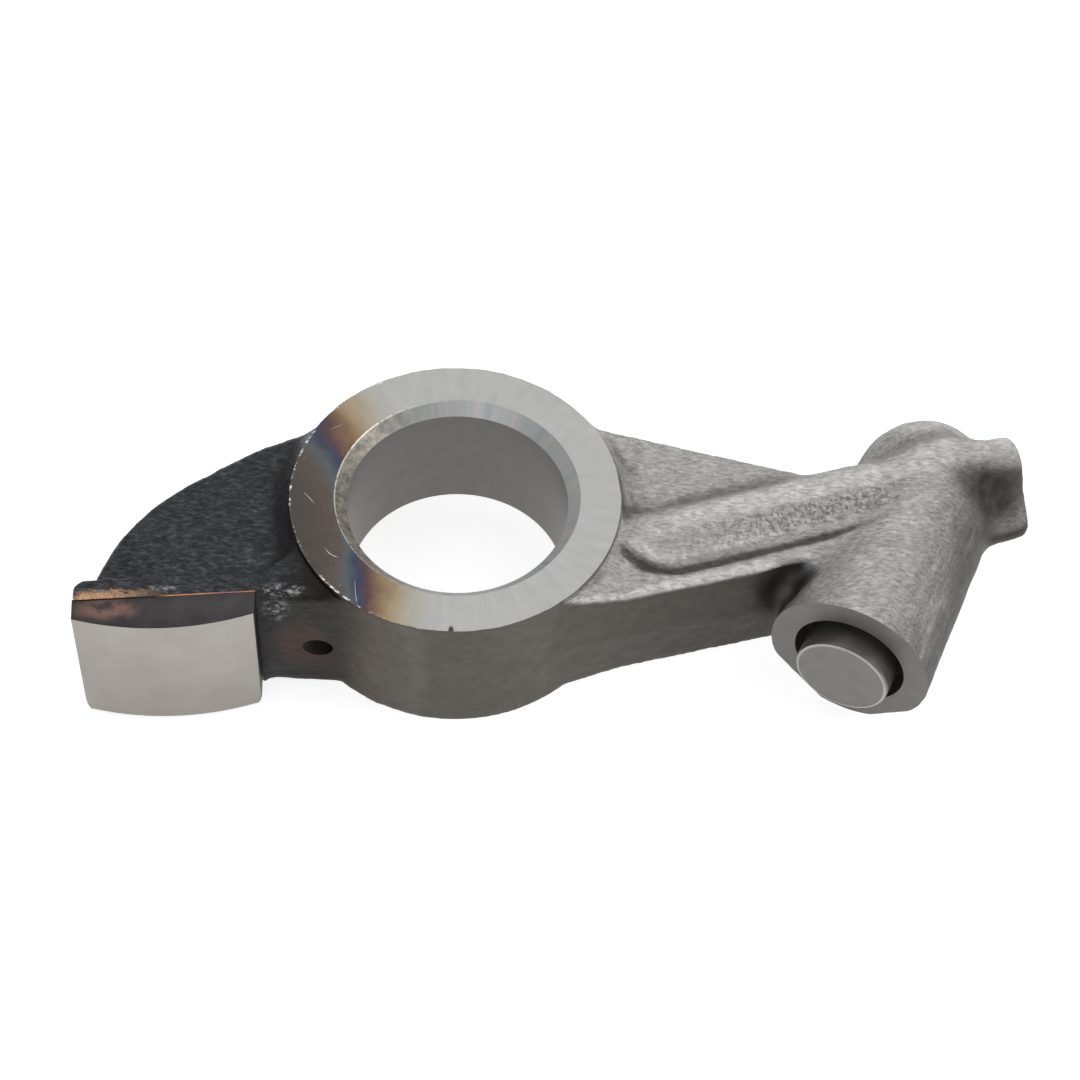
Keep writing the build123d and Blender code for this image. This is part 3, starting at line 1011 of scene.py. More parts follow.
    def stains(self, c: ForgedCanvas, colour: Socket) -> Socket:
        """Copper that ran over the shelf's left end, and a red glow round the spray hole.

        Args:
            c: The material's nodes.
            colour: Colour so far.

        Returns:
            The new colour.
        """
        left, low = self.seat_left
        fall = c.product(c.math("ADD", c.x, -left), -self.seat_slope)
        behind = c.math("ADD", fall, c.math("ADD", c.y, -low))
        stain = c.product(c.step(c.line(c.rub, 2.6, behind), 2.35, 1.6), c.step(c.x, -24.0, -31.5))
        bright = c.ramp(c.grain, ((0.3, (0.30, 0.12, 0.10)), (0.5, self.copper), (0.7, (0.85, 0.68, 0.36))))
        colour = c.paint(colour, bright, stain)
        return c.paint(colour, self.ember, c.near(c.spot, (-13.4, -12.0, -0.5), (3.4, 1.2, 4.5)), 0.4)

    def build(self) -> Material:
        """Makes the material, layer on layer.

        Returns:
            The material.
        """
        c = ForgedCanvas(self.across, self.gallery_offset)
        colour = self.bare(c)
        layers = (
            self.flecks,
            self.hub_shade_and_dark_neck,
            self.rib,
            self.creases,
            self.grooves,
            self.lug,
            self.boss,
            self.scrapes,
            self.stains,
        )
        for layer in layers:
            colour = layer(c, colour)
        strength = c.math("MAXIMUM", c.line(c.level, 0.75, 0.18), c.product(c.hot, 0.7))
        normal = c.bump(c.line(c.grain, 0.45, c.fleck), 0.13, strength)
        rough = c.line(c.hot_top, -0.12, c.line(c.fleck, -0.25, 0.60))
        metal = c.line(c.level, 0.5, 0.2)
        return c.shade(
            Base_Color=colour, Metallic=metal, Roughness=rough, Normal=normal, Specular_IOR_Level=0.3
        )


@dataclass(frozen=True)
class ThrustFace:
    """Machined ring of the hub, heat-tinted on the pad's side, with a burr and a painted highlight on its
    rim.
    """

    steel: Colour = (0.385, 0.383, 0.378)
    speck: Colour = (0.30, 0.29, 0.28)
    scratch: Colour = (0.42, 0.41, 0.39)
    # burr and painted highlight on the rim
    burr_and_highlight: Colour = (0.80, 0.79, 0.76)
    nick: Colour = (0.05, 0.045, 0.04)
    rim: float = 14.68
    centre_x: float = -0.2
    heated: Spot = (-22.0, -10.0, 0.0)  # where the heat came from

    def tinted(self, c: Canvas, heat: Socket) -> Socket:
        """Heat tints, from grey scale through blue, purple and straw to clean steel.

        Args:
            c: The material's nodes.
            heat: Distance from the heat, less what the last tint needs.

        Returns:
            The colour.
        """
        stops = (
            (-17.0, (0.060, 0.053, 0.048)),
            (-14.0, (0.076, 0.066, 0.056)),
            (-12.6, (0.094, 0.072, 0.060)),
            (-11.5, (0.088, 0.100, 0.104)),
            (-10.5, (0.045, 0.054, 0.090)),
            (-9.7, (0.090, 0.052, 0.058)),
            (-8.8, (0.180, 0.112, 0.068)),
            (-7.4, (0.310, 0.238, 0.150)),
            (-5.6, (0.360, 0.335, 0.288)),
            (-4.0, self.steel),
        )
        return c.ramp(heat, stops)

    def marks(self, c: Canvas, spot: Socket, heat: Socket, colour: Socket) -> Socket:
        """Specks on the dark side and fine scratches.

        Args:
            c: The material's nodes.
            spot: Position in millimetres.
            heat: Distance from the heat.
            colour: Colour so far.

        Returns:
            The new colour.
        """
        specks = c.step(c.noise(spot, 1.5, 5.0, 0.75), 0.62, 0.72)
        colour = c.paint(colour, self.speck, specks, c.step(heat, -8.5, -12.0), 0.55)
        slanted = c.hairlines(c.stretch(spot, (1.6, 0.6, 1.0)), 0.10, 0.0020)
        lines = c.math("MAXIMUM", c.hairlines(spot, 0.11, 0.0022), slanted)
        places = c.step(c.noise(spot, 0.30, 1.0), 0.55, 0.64)
        return c.paint(colour, self.scratch, lines, places, c.step(heat, -2.0, -8.0))

    def build(self) -> Material:
        """Makes the material.

        Returns:
            The material.
        """
        c = Canvas("thrust_face")
        spot = c.place()
        x, y, _ = c.axes(spot)
        away = c.length(c.stretch(c.vector("SUBTRACT", spot, self.heated), (1.0, 0.65, 0.0)))
        heat = c.line(c.noise(spot, 0.22, 3.0, 0.6), 3.0, c.math("ADD", away, -25.9))
        flat = c.stretch(spot, (1.0, 1.0, 0.0))
        radius = c.length(c.vector("ADD", flat, (-self.centre_x, 0.0, 0.0)))
        polar = c.combine(c.product(c.math("ARCTAN2", y, x), 9.0), radius)
        streak = c.noise(c.stretch(polar, (1.0, 0.12, 1.0)), 1.3, 4.0, 0.65)
        brushing = ((0.3, (0.90, 0.92, 0.92)), (0.45, (0.98, 0.98, 0.97)), (0.7, (1.07, 1.05, 1.03)))
        colour = c.tone(self.tinted(c, heat), c.ramp(streak, brushing), 1.0)
        colour = self.marks(c, spot, heat, colour)
        fine = c.step(c.noise(spot, 1.8, 5.0, 0.8), 0.48, 0.62)
        coarse = c.step(c.noise(spot, 0.4, 2.0), 0.38, 0.62)
        # burr and painted highlight along the rim
        edge = c.product(c.step(radius, self.rim, self.rim + 0.12), c.step(x, -3.5, -8.0))
        colour = c.paint(colour, self.burr_and_highlight, edge, fine, coarse)
        colour = c.paint(colour, self.nick, c.near(spot, (0.2, -14.75, 7.0), (0.34, 0.62, 1.0)))
        rough = c.line(c.noise(spot, 0.9, 4.0, 0.6), 0.14, 0.32)
        normal = c.bump(c.noise(c.combine(radius), 9.0, 4.0, 0.7), 0.006)
        return c.shade(Base_Color=colour, Metallic=0.85, Roughness=rough, Normal=normal)


@dataclass(frozen=True)
class ChamferedEdge:
    """Chamfer of the bore: pale, faintly rainbow-coloured at the back, rough and burred by the heat tint,
    with a painted highlight on its burred lip.
    """

    steel: Colour = (0.60, 0.60, 0.59)
    # burr and painted highlight on the lip
    burr_and_highlight: Colour = (0.95, 0.93, 0.88)
    lip: float = 10.95

    def build(self) -> Material:
        """Makes the material.

        Returns:
            The material.
        """
        c = Canvas("bore_chamfer")
        spot = c.place()
        x, y, _ = c.axes(spot)
        radius = c.length(c.stretch(spot, (1.0, 1.0, 0.0)))
        sheen = c.noise(c.combine(c.product(c.math("ARCTAN2", y, x), 3.0)), 2.6, 3.0, 0.65)
        rainbow = (
            (0.35, (0.72, 0.78, 0.86)),
            (0.45, (0.92, 1.0, 0.98)),
            (0.55, (1.06, 1.0, 1.02)),
            (0.65, (1.15, 1.08, 0.98)),
        )
        colour = c.tone(self.steel, c.ramp(sheen, rainbow), 1.0)
        burnt = c.step(x, -1.5, -9.0)
        scorched = ((0.35, (0.085, 0.075, 0.065)), (0.5, (0.26, 0.22, 0.16)), (0.65, (0.42, 0.39, 0.33)))
        colour = c.paint(colour, c.ramp(c.noise(spot, 1.4, 4.0, 0.65), scorched), burnt, 0.85)
        ragged = c.step(c.noise(spot, 2.0, 3.0, 0.6), 0.34, 0.50)
        # burr and painted highlight along the chamfer's lip
        edge = c.product(c.step(radius, self.lip, self.lip + 0.1), c.step(x, 1.0, -5.0))
        colour = c.paint(colour, self.burr_and_highlight, edge, ragged)
        normal = c.bump(c.noise(spot, 3.0, 4.0, 0.6), 0.02, c.line(burnt, 0.8, 0.2))
        return c.shade(Base_Color=colour, Metallic=0.35, Roughness=0.42, Normal=normal)


@dataclass(frozen=True)
class BoredSteel:
    """Bored or faced steel with fine tool marks."""

    name: str
    steel: Colour
    roughness: float
    metal: float = 0.9

    def build(self) -> Material:
        """Makes the material.

        Returns:
            The material.
        """
        c = Canvas(self.name)
        spot = c.place()
        smudge = c.noise(spot, 0.5, 4.0, 0.6)
        marks = c.noise(c.stretch(spot, (1.0, 1.0, 7.0)), 3.0, 4.0, 0.6)
        colour = c.tone(self.steel, c.ramp(smudge, ((0.3, grey(0.88)), (0.7, grey(1.1)))), 1.0)
        rough = c.line(smudge, 0.12, self.roughness - 0.06)
        return c.shade(Base_Color=colour, Metallic=self.metal, Roughness=rough, Normal=c.bump(marks, 0.008))


@dataclass(frozen=True)
class GroundFace:
    """Ground face of the cam pad, darker towards its lower left corner."""

    steel: Colour = (0.56, 0.53, 0.485)
    # darkens the face towards its lower left corner
    tone_change: Colour = (0.72, 0.69, 0.66)

    def build(self) -> Material:
        """Makes the material.

        Returns:
            The material.
        """
        c = Canvas("ground_face")
        spot = c.place()
        x, _, z = c.axes(spot)
        stain = c.noise(spot, 0.25, 4.0, 0.6)
        lines = c.noise(c.stretch(spot, (9.0, 1.0, 0.5)), 1.6, 3.0, 0.6)
        colour = c.tone(self.steel, c.ramp(stain, ((0.3, (0.90, 0.88, 0.86)), (0.7, grey(1.05)))), 1.0)
        # darker towards the lower left corner
        colour = c.tone(colour, self.tone_change, c.step(c.line(x, 0.35, z), -3.0, -13.0), 0.55)
        rough = c.line(stain, 0.1, 0.42)
        return c.shade(Base_Color=colour, Metallic=0.35, Roughness=rough, Normal=c.bump(lines, 0.004))


@dataclass(frozen=True)
class ScorchedFlank:
    """Flanks of the cam pad, dark from the brazing heat, with a copper-pink patch."""

    dark: Stops = ((0.3, (0.034, 0.030, 0.032)), (0.55, (0.052, 0.046, 0.047)), (0.7, (0.075, 0.060, 0.058)))
    pink: Colour = (0.24, 0.13, 0.10)

    def build(self) -> Material:
        """Makes the material.

        Returns:
            The material.
        """
        c = Canvas("scorched_flank")
        spot = c.place()
        colour = c.ramp(c.noise(spot, 0.35, 4.0, 0.6), self.dark)
        patch = c.near(spot, (-29.9, -14.1, 7.0), (3.6, 1.5, 2.0))
        colour = c.paint(colour, self.pink, patch, c.step(c.noise(spot, 0.7, 3.0), 0.30, 0.55), 0.85)
        normal = c.bump(c.noise(spot, 3.0, 4.0, 0.6), 0.02)
        return c.shade(Base_Color=colour, Metallic=0.6, Roughness=0.45, Normal=normal)


@dataclass(frozen=True)
class CopperSeam:
    """Copper braze: a black gap on the left painted as shade, orange and then purple copper to the right."""

    stops: Stops = (
        # painted shade: the black gap on the left
        (-33.0, (0.012, 0.009, 0.008)),
        (-26.0, (0.020, 0.012, 0.010)),
        (-24.5, (0.60, 0.24, 0.09)),
        (-21.5, (0.52, 0.22, 0.12)),
        (-19.5, (0.32, 0.13, 0.16)),
        (-17.8, (0.45, 0.17, 0.08)),
        (-16.0, (0.05, 0.025, 0.02)),
    )

    def build(self) -> Material:
        """Makes the material.

        Returns:
            The material.
        """
        c = Canvas("copper_seam")
        spot = c.place()
        along = c.math("ADD", c.axes(spot)[0], -1.5)
        colour = c.ramp(c.line(c.noise(spot, 0.9, 3.0, 0.6), 3.0, along), self.stops)
        normal = c.bump(c.noise(spot, 4.0), 0.02)
        return c.shade(Base_Color=colour, Metallic=0.8, Roughness=0.4, Normal=normal)


@dataclass(frozen=True)
class PlainFinish:
    """Even finish of a small inner piece."""

    name: str
    colour: Colour
    metal: float
    roughness: float

    def build(self) -> Material:
        """Makes the material.

        Returns:
            The material.
        """
        c = Canvas(self.name)
        cloud = c.noise(c.place(), 1.2, 4.0, 0.6)
        dark = tuple(0.85 * part for part in self.colour)
        colour = c.mix(cloud, dark, self.colour)
        rough = c.line(cloud, 0.1, self.roughness - 0.05)
        return c.shade(Base_Color=colour, Metallic=self.metal, Roughness=rough, Normal=c.bump(cloud, 0.005))


@dataclass
class RockerForging:
    """The forging: web, flange, neck and shelf round the hub, the oil gallery's rib and lug, and the boss."""

    voxel: float = 0.3
    draft: float = 3.0
    web_half: float = 5.0
    flange_half: float = 5.6
    shoulder_half: float = 6.6
    shoulder_r: float = 18.2
    shoulder_sunk: float = 0.1  # how far the shoulder starts inside the flange
    hub_x: float = -0.2
    hub_r: float = 14.95
    hub_half: float = 7.0
    hub_stock: float = 7.4  # half height of the hub before its two sides are faced
    foot: float = 1.3
    bore_r: float = 10.0
    bore_chamfer: float = 1.1
    back_centre: Point = (-2.35, -20.5)
    back_r: float = 31.3
    back_angles: range = range(103, 162, 2)
    back_swell: float = 0.7  # how much fuller the back is towards the pad
    swell_angles: Point = (131.0, 31.0)  # where the swell starts, and its span
    web_front: tuple[Point, ...] = (
        (-31.9, -12.9), (-17.5, -11.0), (0, -9.0), (33.0, 0), (36.5, 4.9), (9.2, 11.2)
    )
    front_x: Point = (4.0, 31.0)
    front_y: float = -14.62
    front_slope: float = 0.305
    flange_back: tuple[Point, ...] = ((38.0, 0), (16.0, -2.0), (0, -9.0))
    seat_left: Point = (-32.95, -13.3)
    seat_right: Point = (-17.1, -11.42)
    seat_stock: float = 0.5  # what the shelf has over the pad's seat before that is cut
    seat_ends: Point = (2.0, 0.05)  # how far the seat's cutter goes past its left and right end
    seat_room: float = -17.5
    shelf_half: float = 7.0
    shelf_front: tuple[Point, Point] = ((-32.89, -13.3), (-16.7, -11.38))
    shelf_back: tuple[Point, ...] = ((-16.7, -9.4), (-26.4, -10.2), (-32.3, -10.95), (-33.1, -11.75))
    shelf_past: float = 1.0  # how far the shelf's ground top goes past the seat
    neck_half: float = 6.5
    neck_bend: Bend = ((-10.2, -11.75), (-7.5, -12.45), (-5.6, -13.9))
    neck_rest: tuple[Point, ...] = (
        (-3.0, -10.0), (-10.0, -2.0), (-14.4, -6.4), (-17.6, -9.5), (-16.7, -11.4), (-16.7, -11.75)
    )
    gallery_angle: float = 18.8
    gallery_offset: float = 7.8
    gallery_r: float = 1.5
    gallery_start: float = 5.0
    rib_back: Bend = ((3.05, 4.5), (2.05, 5.85), (0, 6.75))  # sections: distance from the gallery, and height
    rib_front: Bend = ((0, 6.75), (-2.2, 6.7), (-3.8, 6.35))
    rib_foot: Point = (-4.5, 5.4)
    rib_run: tuple[Point, ...] = (  # distance along the gallery, and how far the front reaches there
        (12.4, 0.6), (13.2, -1.2), (13.9, -2.7), (15.0, -3.8), (16.6, -4.5), (38.0, -4.5)
    )
    lug_start: float = 43.0
    lug_end: float = 51.5
    lug_crown: Bend = ((0, 6.5), (1.5, 6.0), (2.3, 4.75))
    lug_flank: Bend = ((2.3, 4.75), (3.4, 2.9), (5.1, 1.25))
    lug_nose: Bend = ((5.1, 1.25), (5.5, 0.75), (5.65, 0.0))
    lug_run: tuple[Point, ...] = (  # share of the lug's length, and its size there
        (0, 1.06), (0.5, 1.02), (0.9, 0.99), (0.97, 0.955), (1.0, 0.87)
    )
    plug_r: float = 2.0
    plug_seat: float = 3.6
    mouth: Point = (35.68, -11.32)
    adjuster_angle: float = 23.4
    adjuster_bore_r: float = 5.2
    adjuster_bore_depth: float = 17.5
    boss_angle: float = 22.2
    boss_r: float = 7.5
    boss_over: float = 2.2  # stock before the mouth, which is milled off
    boss_straight: float = 20.65
    dome_r: float = 6.95
    flat_distances: Point = (7.18, 6.78)  # of the right and the left flat, from the axis
    flat_angle: float = 50.0
    flat_draft: float = 1.5
    mill_start: float = -3.0
    reamer_start: float = -4.0
    overrun: float = 2.0  # how much wider the boss's mill is, and how far outside the lug the drills start
    cutter_top: float = 9.0
    spray_hole: Spot = (-11.9, -11.7, -1.0)
    spray_r: float = 1.15
    spray_angle: float = 35.0
    spray_ends: Point = (-3.0, 8.0)  # where the drill starts and ends, from the hole's mouth
    rim_step: float = 0.4
    rim_floor: Point = (0.1, 1.0)  # where the step's floor starts and ends, from the rim
    rim_rise: float = 0.15
    rim_width: float = 2.4
    even_passes: int = 3
    crease_passes: int = 14
    boss_passes: int = 50
    last_passes: int = 2
    boss_run: Point = (27.0, 31.0)  # where the softer fillets round the boss set in
    waves: tuple[Point, Point] = ((0.45, 0.06), (1.3, 0.04))  # density and height
    pocket: Spot = (29.6, -5.4, 2.6)
    pocket_reach: Spot = (1.6, 1.6, 2.4)
    pocket_depth: float = 0.9
    valley_run: Point = (36.0, 39.0)
    valley_rise: Point = (2.0, 4.0)
    valley_out: float = 3.7
    valley_reach: float = 1.3
    valley_depth: float = 0.5
    groove_run: Point = (37.0, 31.0)
    groove_clear: Point = (0.7, 1.3)  # distances from the hub's rim over which the groove sets in
    groove_low: float = 4.5
    groove_reach: float = 0.38
    groove_depth: float = 0.2
    hollow_passes: int = 16
    patch_passes: int = 6

    def __post_init__(self) -> None:
        """Works out the directions of the gallery, the boss and the adjuster's bore."""
        turn = math.radians(self.gallery_angle)
        self.gallery = Vector((math.cos(turn), math.sin(turn), 0))
        self.across = Vector((-self.gallery.y, self.gallery.x, 0))
        self.inward = leaning(self.adjuster_angle)
        self.boss_axis = leaning(self.boss_angle)
        self.boss_side = rightwards(self.boss_axis)
        self.mouth_centre = Vector((*self.mouth, 0))

    def web_outline(self) -> list[Point]:
        """Plan of the web.

        Returns:
            Its corners, counter-clockwise.
        """
        back = []
        swell_start, swell_span = self.swell_angles
        for angle in self.back_angles:
            swell = self.back_swell * max(0.0, math.sin(math.pi * (angle - swell_start) / swell_span))
            turn, radius = math.radians(angle), self.back_r + swell
            x = self.back_centre[0] + radius * math.cos(turn)
            y = self.back_centre[1] + radius * math.sin(turn)
            back.append((x, y))
        return back + list(self.web_front)

    def flange_outline(self) -> list[Point]:
        """Plan of the thicker front, counter-clockwise."""
        return [(x, self.front_y + self.front_slope * x) for x in self.front_x] + list(self.flange_back)

    def skirt(self, outline: Sequence[Point], half: float, low: Point, high: Point) -> Piece:
        """Cone round the hub, kept inside an outline.

        Args:
            outline: Plan that it is kept to.
            half: Its half height.
            low: Radius and height where it starts.
            high: Radius and height where it ends.

        Returns:
            The skirt above and below the parting plane.
        """
        profile = [(0, -high[1]), (high[0], -high[1]), (low[0], -low[1]), low, high, (0, high[1])]
        cone = Workshop.place(turned(profile, Vector((self.hub_x, 0, 0)), RIGHT, UP, 128), "skirt")
        Workshop.cut(cone, [Workshop.place(plate(outline, half, self.draft), "skirt_plan")], Cut.COMMON)
        return cone

    def shelf(self) -> Shape:
        """Shelf behind the pad, a little over its seat, which is cut later."""
        front = [(x, y - self.seat_stock) for x, y in self.shelf_front]
        return plate(front + list(self.shelf_back), self.shelf_half, 0)

    def neck(self) -> Shape:
        """Neck between the shelf and the hub."""
        return plate(arc_through(*self.neck_bend, 6) + list(self.neck_rest), self.neck_half, 0)

    def gallery_ring(self, distance: float, section: Sequence[Point]) -> list[Vector]:
        """A section's points in the plane across the gallery, so far along it."""
        origin = self.gallery * distance - self.across * self.gallery_offset
        return [origin + self.across * out + Vector((0, 0, up)) for out, up in section]

    def rib(self) -> Shape:
        """Rib over the gallery, with its front corner rounded off near the hub.

        Returns:
            The closed shape.
        """
        upper = arc_through(*self.rib_back, 6) + arc_through(*self.rib_front, 6)[1:] + [self.rib_foot]
        ring = upper + [(out, -up) for out, up in reversed(upper)]
        sections = []
        for distance, limit in self.rib_run:
            sections.append(self.gallery_ring(distance, [(max(out, limit), up) for out, up in ring]))
        return loft(sections)

    def lug(self) -> Shape:
        """Lug past the boss, with a nose at the parting line and soft ends.

        Returns:
            The closed shape.
        """
        flank, nose = arc_through(*self.lug_flank, 5), arc_through(*self.lug_nose, 3)
        quarter = arc_through(*self.lug_crown, 5) + flank[1:] + nose[1:]
        right = quarter + [(out, -up) for out, up in reversed(quarter[:-1])]
        ring = right + [(-out, up) for out, up in reversed(right[1:-1])]
        length = self.lug_end - self.lug_start
        sections = []
        for along, size in self.lug_run:
            section = [(out * size, up * size) for out, up in ring]
            sections.append(self.gallery_ring(self.lug_start + length * along, section))
        return loft(sections)

    def boss(self) -> Shape:
        """Boss of the adjuster: a drafted cone with a domed end and flatter lower flanks.

        Returns:
            The closed shape.
        """
        dome = arc((0, self.boss_straight), self.dome_r, 0, 90, 16)
        profile = [(0, -self.boss_over), (self.boss_r, -self.boss_over), (self.boss_r, 0.0)] + dome
        shape = turned(profile, self.mouth_centre, self.boss_side, self.boss_axis, 96)
        angle, lean = math.radians(self.flat_angle), math.sin(math.radians(self.flat_draft))
        for side, distance in zip((1, -1), self.flat_distances):
            outward = self.boss_side * side * math.cos(angle) - Vector((0, 0, math.sin(angle)))
            bmesh.ops.bisect_plane(
                shape,
                geom=list(shape.verts) + list(shape.edges) + list(shape.faces),
                plane_co=self.mouth_centre + outward * distance,
                plane_no=outward + self.boss_axis * lean,
                clear_outer=True,
            )
            bmesh.ops.holes_fill(shape, edges=[edge for edge in shape.edges if edge.is_boundary])
        return shape

    def shapes(self) -> dict[str, Shape]:
        """The simple shapes that the forging is fused from.

        Returns:
            The closed shapes by name.
        """
        web, flange = self.web_outline(), self.flange_outline()
        ends = (Vector((self.hub_x, 0, height)) for height in (-self.hub_stock, self.hub_stock))
        return {
            "web": plate(web, self.web_half, self.draft),
            "flange": plate(flange, self.flange_half, self.draft),
            "shelf": self.shelf(),
            "neck": self.neck(),
            "rib": self.rib(),
            "lug": self.lug(),
            "boss": self.boss(),
            "hub": rod(*ends, self.hub_r, 192),
        }

    def blank(self) -> Piece:
        """The forging before it is machined.

        Returns:
            One even skin with its fillets.
        """
        pieces = [Workshop.place(shape, name) for name, shape in self.shapes().items()]
        shoulder = (self.shoulder_r, self.flange_half - self.shoulder_sunk), (self.hub_r, self.shoulder_half)
        pieces.append(self.skirt(self.flange_outline(), self.shoulder_half, *shoulder))
        foot = (self.hub_r + self.foot, self.web_half), (self.hub_r, self.web_half + self.foot)
        pieces.append(self.skirt(self.web_outline(), self.hub_half, *foot))
        forging = Workshop.fuse(pieces, self.voxel, "forging")
        skin = Skin(forging.data)
        skin.relax(self.even_passes)
        skin.relax(self.crease_passes, creases_only=True)
        skin.relax(self.boss_passes, creases_only=True, share=fade(skin.points[:, 0], *self.boss_run))
        skin.relax(self.last_passes)
        return forging

    def swell(self, skin: Skin) -> np.ndarray:
        """Slight waves of a forging.

        Args:
            skin: The forging's skin.

        Returns:
            How far each vertex moves outwards.
        """
        heights = []
        for point in skin.points:
            spot = Vector(point)
            heights.append(sum(noise.noise(spot * density) * height for density, height in self.waves))
        return np.array(heights)

    def dents(self, skin: Skin) -> np.ndarray:
        """Dent beside the boss, dip behind the rib's ridge and groove round the rib's foot.

        Args:
            skin: The forging's skin.

        Returns:
            How far each vertex moves inwards.
        """
        points, height = skin.points, np.abs(skin.points[:, 2])
        along = points @ np.array(self.gallery)
        out = points @ np.array(self.across) + self.gallery_offset
        away = (points - np.array(self.pocket)) / np.array(self.pocket_reach)
        pocket = self.pocket_depth * np.exp(-(away**2).sum(axis=1))
        behind = (out - self.valley_out) / self.valley_reach
        run = fade(along, *self.valley_run) * fade(height, *self.valley_rise)
        valley = self.valley_depth * np.exp(-(behind**2)) * run
        corner_along, corner_out = ForgedSkin.rib_corner
        short, side = np.minimum(along - corner_along, 0), np.minimum(out - corner_out, 0)
        foot = np.abs(np.hypot(short, side) - ForgedSkin.rib_corner_r) / self.groove_reach
        rim = np.hypot(points[:, 0] - self.hub_x, points[:, 1]) - self.hub_r
        reach = fade(rim, *self.groove_clear) * fade(along, *self.groove_run) * (height > self.groove_low)
        return pocket + valley + self.groove_depth * np.exp(-(foot**2)) * reach

    def roughen(self, forging: Piece) -> None:
        """Gives the skin waves and dents, and levels it with the ground top of the shelf.

        Args:
            forging: The blank.
        """
        skin = Skin(forging.data)
        normals = skin.read("normal")
        points = skin.points + normals * self.swell(skin)[:, None]
        points -= normals * self.dents(skin)[:, None]
        ground = points[:, 0] < self.seat_right[0] + self.shelf_past
        points[ground, 2] = np.clip(points[ground, 2], -self.shelf_half, self.shelf_half)
        low, high = (np.array(corner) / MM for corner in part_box("rocker_arm"))
        skin.points = np.clip(points, low, high)
        skin.write()
        skin.mark("hollow", skin.hollows(self.hollow_passes))

    def gallery_line(self, start: float, end: float) -> tuple[Vector, Vector]:
        """Two points on the gallery's axis."""
        side = self.across * self.gallery_offset
        return self.gallery * start - side, self.gallery * end - side

    def bore_line(self, start: float, end: float) -> tuple[Vector, Vector]:
        """Two points on the axis of the adjuster's bore, by their depth."""
        return self.mouth_centre + self.inward * start, self.mouth_centre + self.inward * end

    def spray_line(self) -> tuple[Vector, Vector]:
        """Ends of the spray hole's drill."""
        aim = leaning(self.spray_angle)
        return tuple(Vector(self.spray_hole) + aim * depth for depth in self.spray_ends)

    def shaft_tool(self, bore: Material, chamfer: Material) -> Piece:
        """Cutter of the shaft bore with its two chamfers.

        Args:
            bore: Finish of the bore.
            chamfer: Finish of the chamfers.

        Returns:
            The cutter.
        """
        top, narrow = self.cutter_top, self.hub_half - self.bore_chamfer
        wide = self.bore_r + self.bore_chamfer + top - self.hub_half
        upper = [(0, top), (wide, top), (self.bore_r, narrow)]
        profile = upper + [(radius, -height) for radius, height in reversed(upper)]
        tool = Workshop.place(turned(profile, Vector(), RIGHT, UP, 192), "bore_tool", bore)
        tool.data.materials.append(chamfer)
        for face in tool.data.polygons:
            face.material_index = 0 if abs(face.center.z) < narrow else 1
        return tool

    def mills(self, ring: Material) -> list[Piece]:
        """Cutters that face the two sides of the hub and leave a shallow step round each rim.

        Args:
            ring: Finish of the faced ring.

        Returns:
            The upper and the lower cutter.
        """
        rim, floor, width = self.hub_r, self.hub_half - self.rim_step, self.hub_r + self.rim_width
        start, end = self.rim_floor
        face = [(0, self.hub_half), (rim, self.hub_half)]
        step = [(rim + start, floor), (rim + end, floor + self.rim_rise), (width, self.hub_half)]
        profile = face + step + [(width, self.cutter_top), (0, self.cutter_top)]
        mills = []
        for side in (1, -1):
            shape = turned(profile, Vector((self.hub_x, 0, 0)), RIGHT, UP * side, 192)
            mill = Workshop.place(shape, "mill", ring)
            mill.data.materials.append(bpy.data.materials["forged_skin"])
            for face in mill.data.polygons:
                face.material_index = 1 if abs(face.center.z) < self.hub_half - CLOSE else 0
            mills.append(mill)
        return mills

    def drills(self, bore: Material, face: Material, drilled: Material) -> list[Piece]:
        """Cutters of the boss's face and of every round hole but the shaft's.

        Args:
            bore: Finish of the adjuster's bore.
            face: Finish of the boss's face.
            drilled: Finish of the oil holes.

        Returns:
            The cutters.
        """
        past, seat = self.lug_end + self.overrun, self.lug_end - self.plug_seat
        adjuster_bore = self.bore_line(self.reamer_start, self.adjuster_bore_depth)
        bars = (
            ("facing_mill", self.bore_line(self.mill_start, 0), self.boss_r + self.overrun, face),
            ("reamer", adjuster_bore, self.adjuster_bore_r, bore),
            ("gallery_drill", self.gallery_line(self.gallery_start, past), self.gallery_r, drilled),
            ("plug_drill", self.gallery_line(seat, past), self.plug_r, drilled),
            ("spray_drill", self.spray_line(), self.spray_r, drilled),
        )
        return [Workshop.place(rod(*line, radius, 96), name, finish) for name, line, radius, finish in bars]

    def seat_cutter(self, finish: Material) -> Piece:
        """Cutter of the pad's seat.

        Args:
            finish: Finish of the seat.

        Returns:
            The cutter.
        """
        left, right = Vector(self.seat_left), Vector(self.seat_right)
        run, (before, after) = (right - left).normalized(), self.seat_ends
        start, end = left - run * before, right + run * after
        room = [tuple(start), (start.x, self.seat_room), (end.x, self.seat_room), tuple(end)]
        return Workshop.place(plate(room, self.cutter_top, 0), "seat_cutter", finish)

    def tools(self) -> list[Piece]:
        """The cutters of every machined or drilled face.

        Returns:
            The cutters in the order of their cuts.
        """
        thrust, chamfer = ThrustFace().build(), ChamferedEdge().build()
        bore = BoredSteel("bore_wall", (0.215, 0.205, 0.198), 0.45, 0.7).build()
        face = BoredSteel("boss_face", (0.205, 0.198, 0.188), 0.48, 0.5).build()
        drilled = BoredSteel("drilled_hole", (0.07, 0.06, 0.055), 0.55, 0.6).build()
        faced = [self.shaft_tool(bore, chamfer)] + self.mills(thrust)
        return faced + self.drills(bore, face, drilled) + [self.seat_cutter(drilled)]

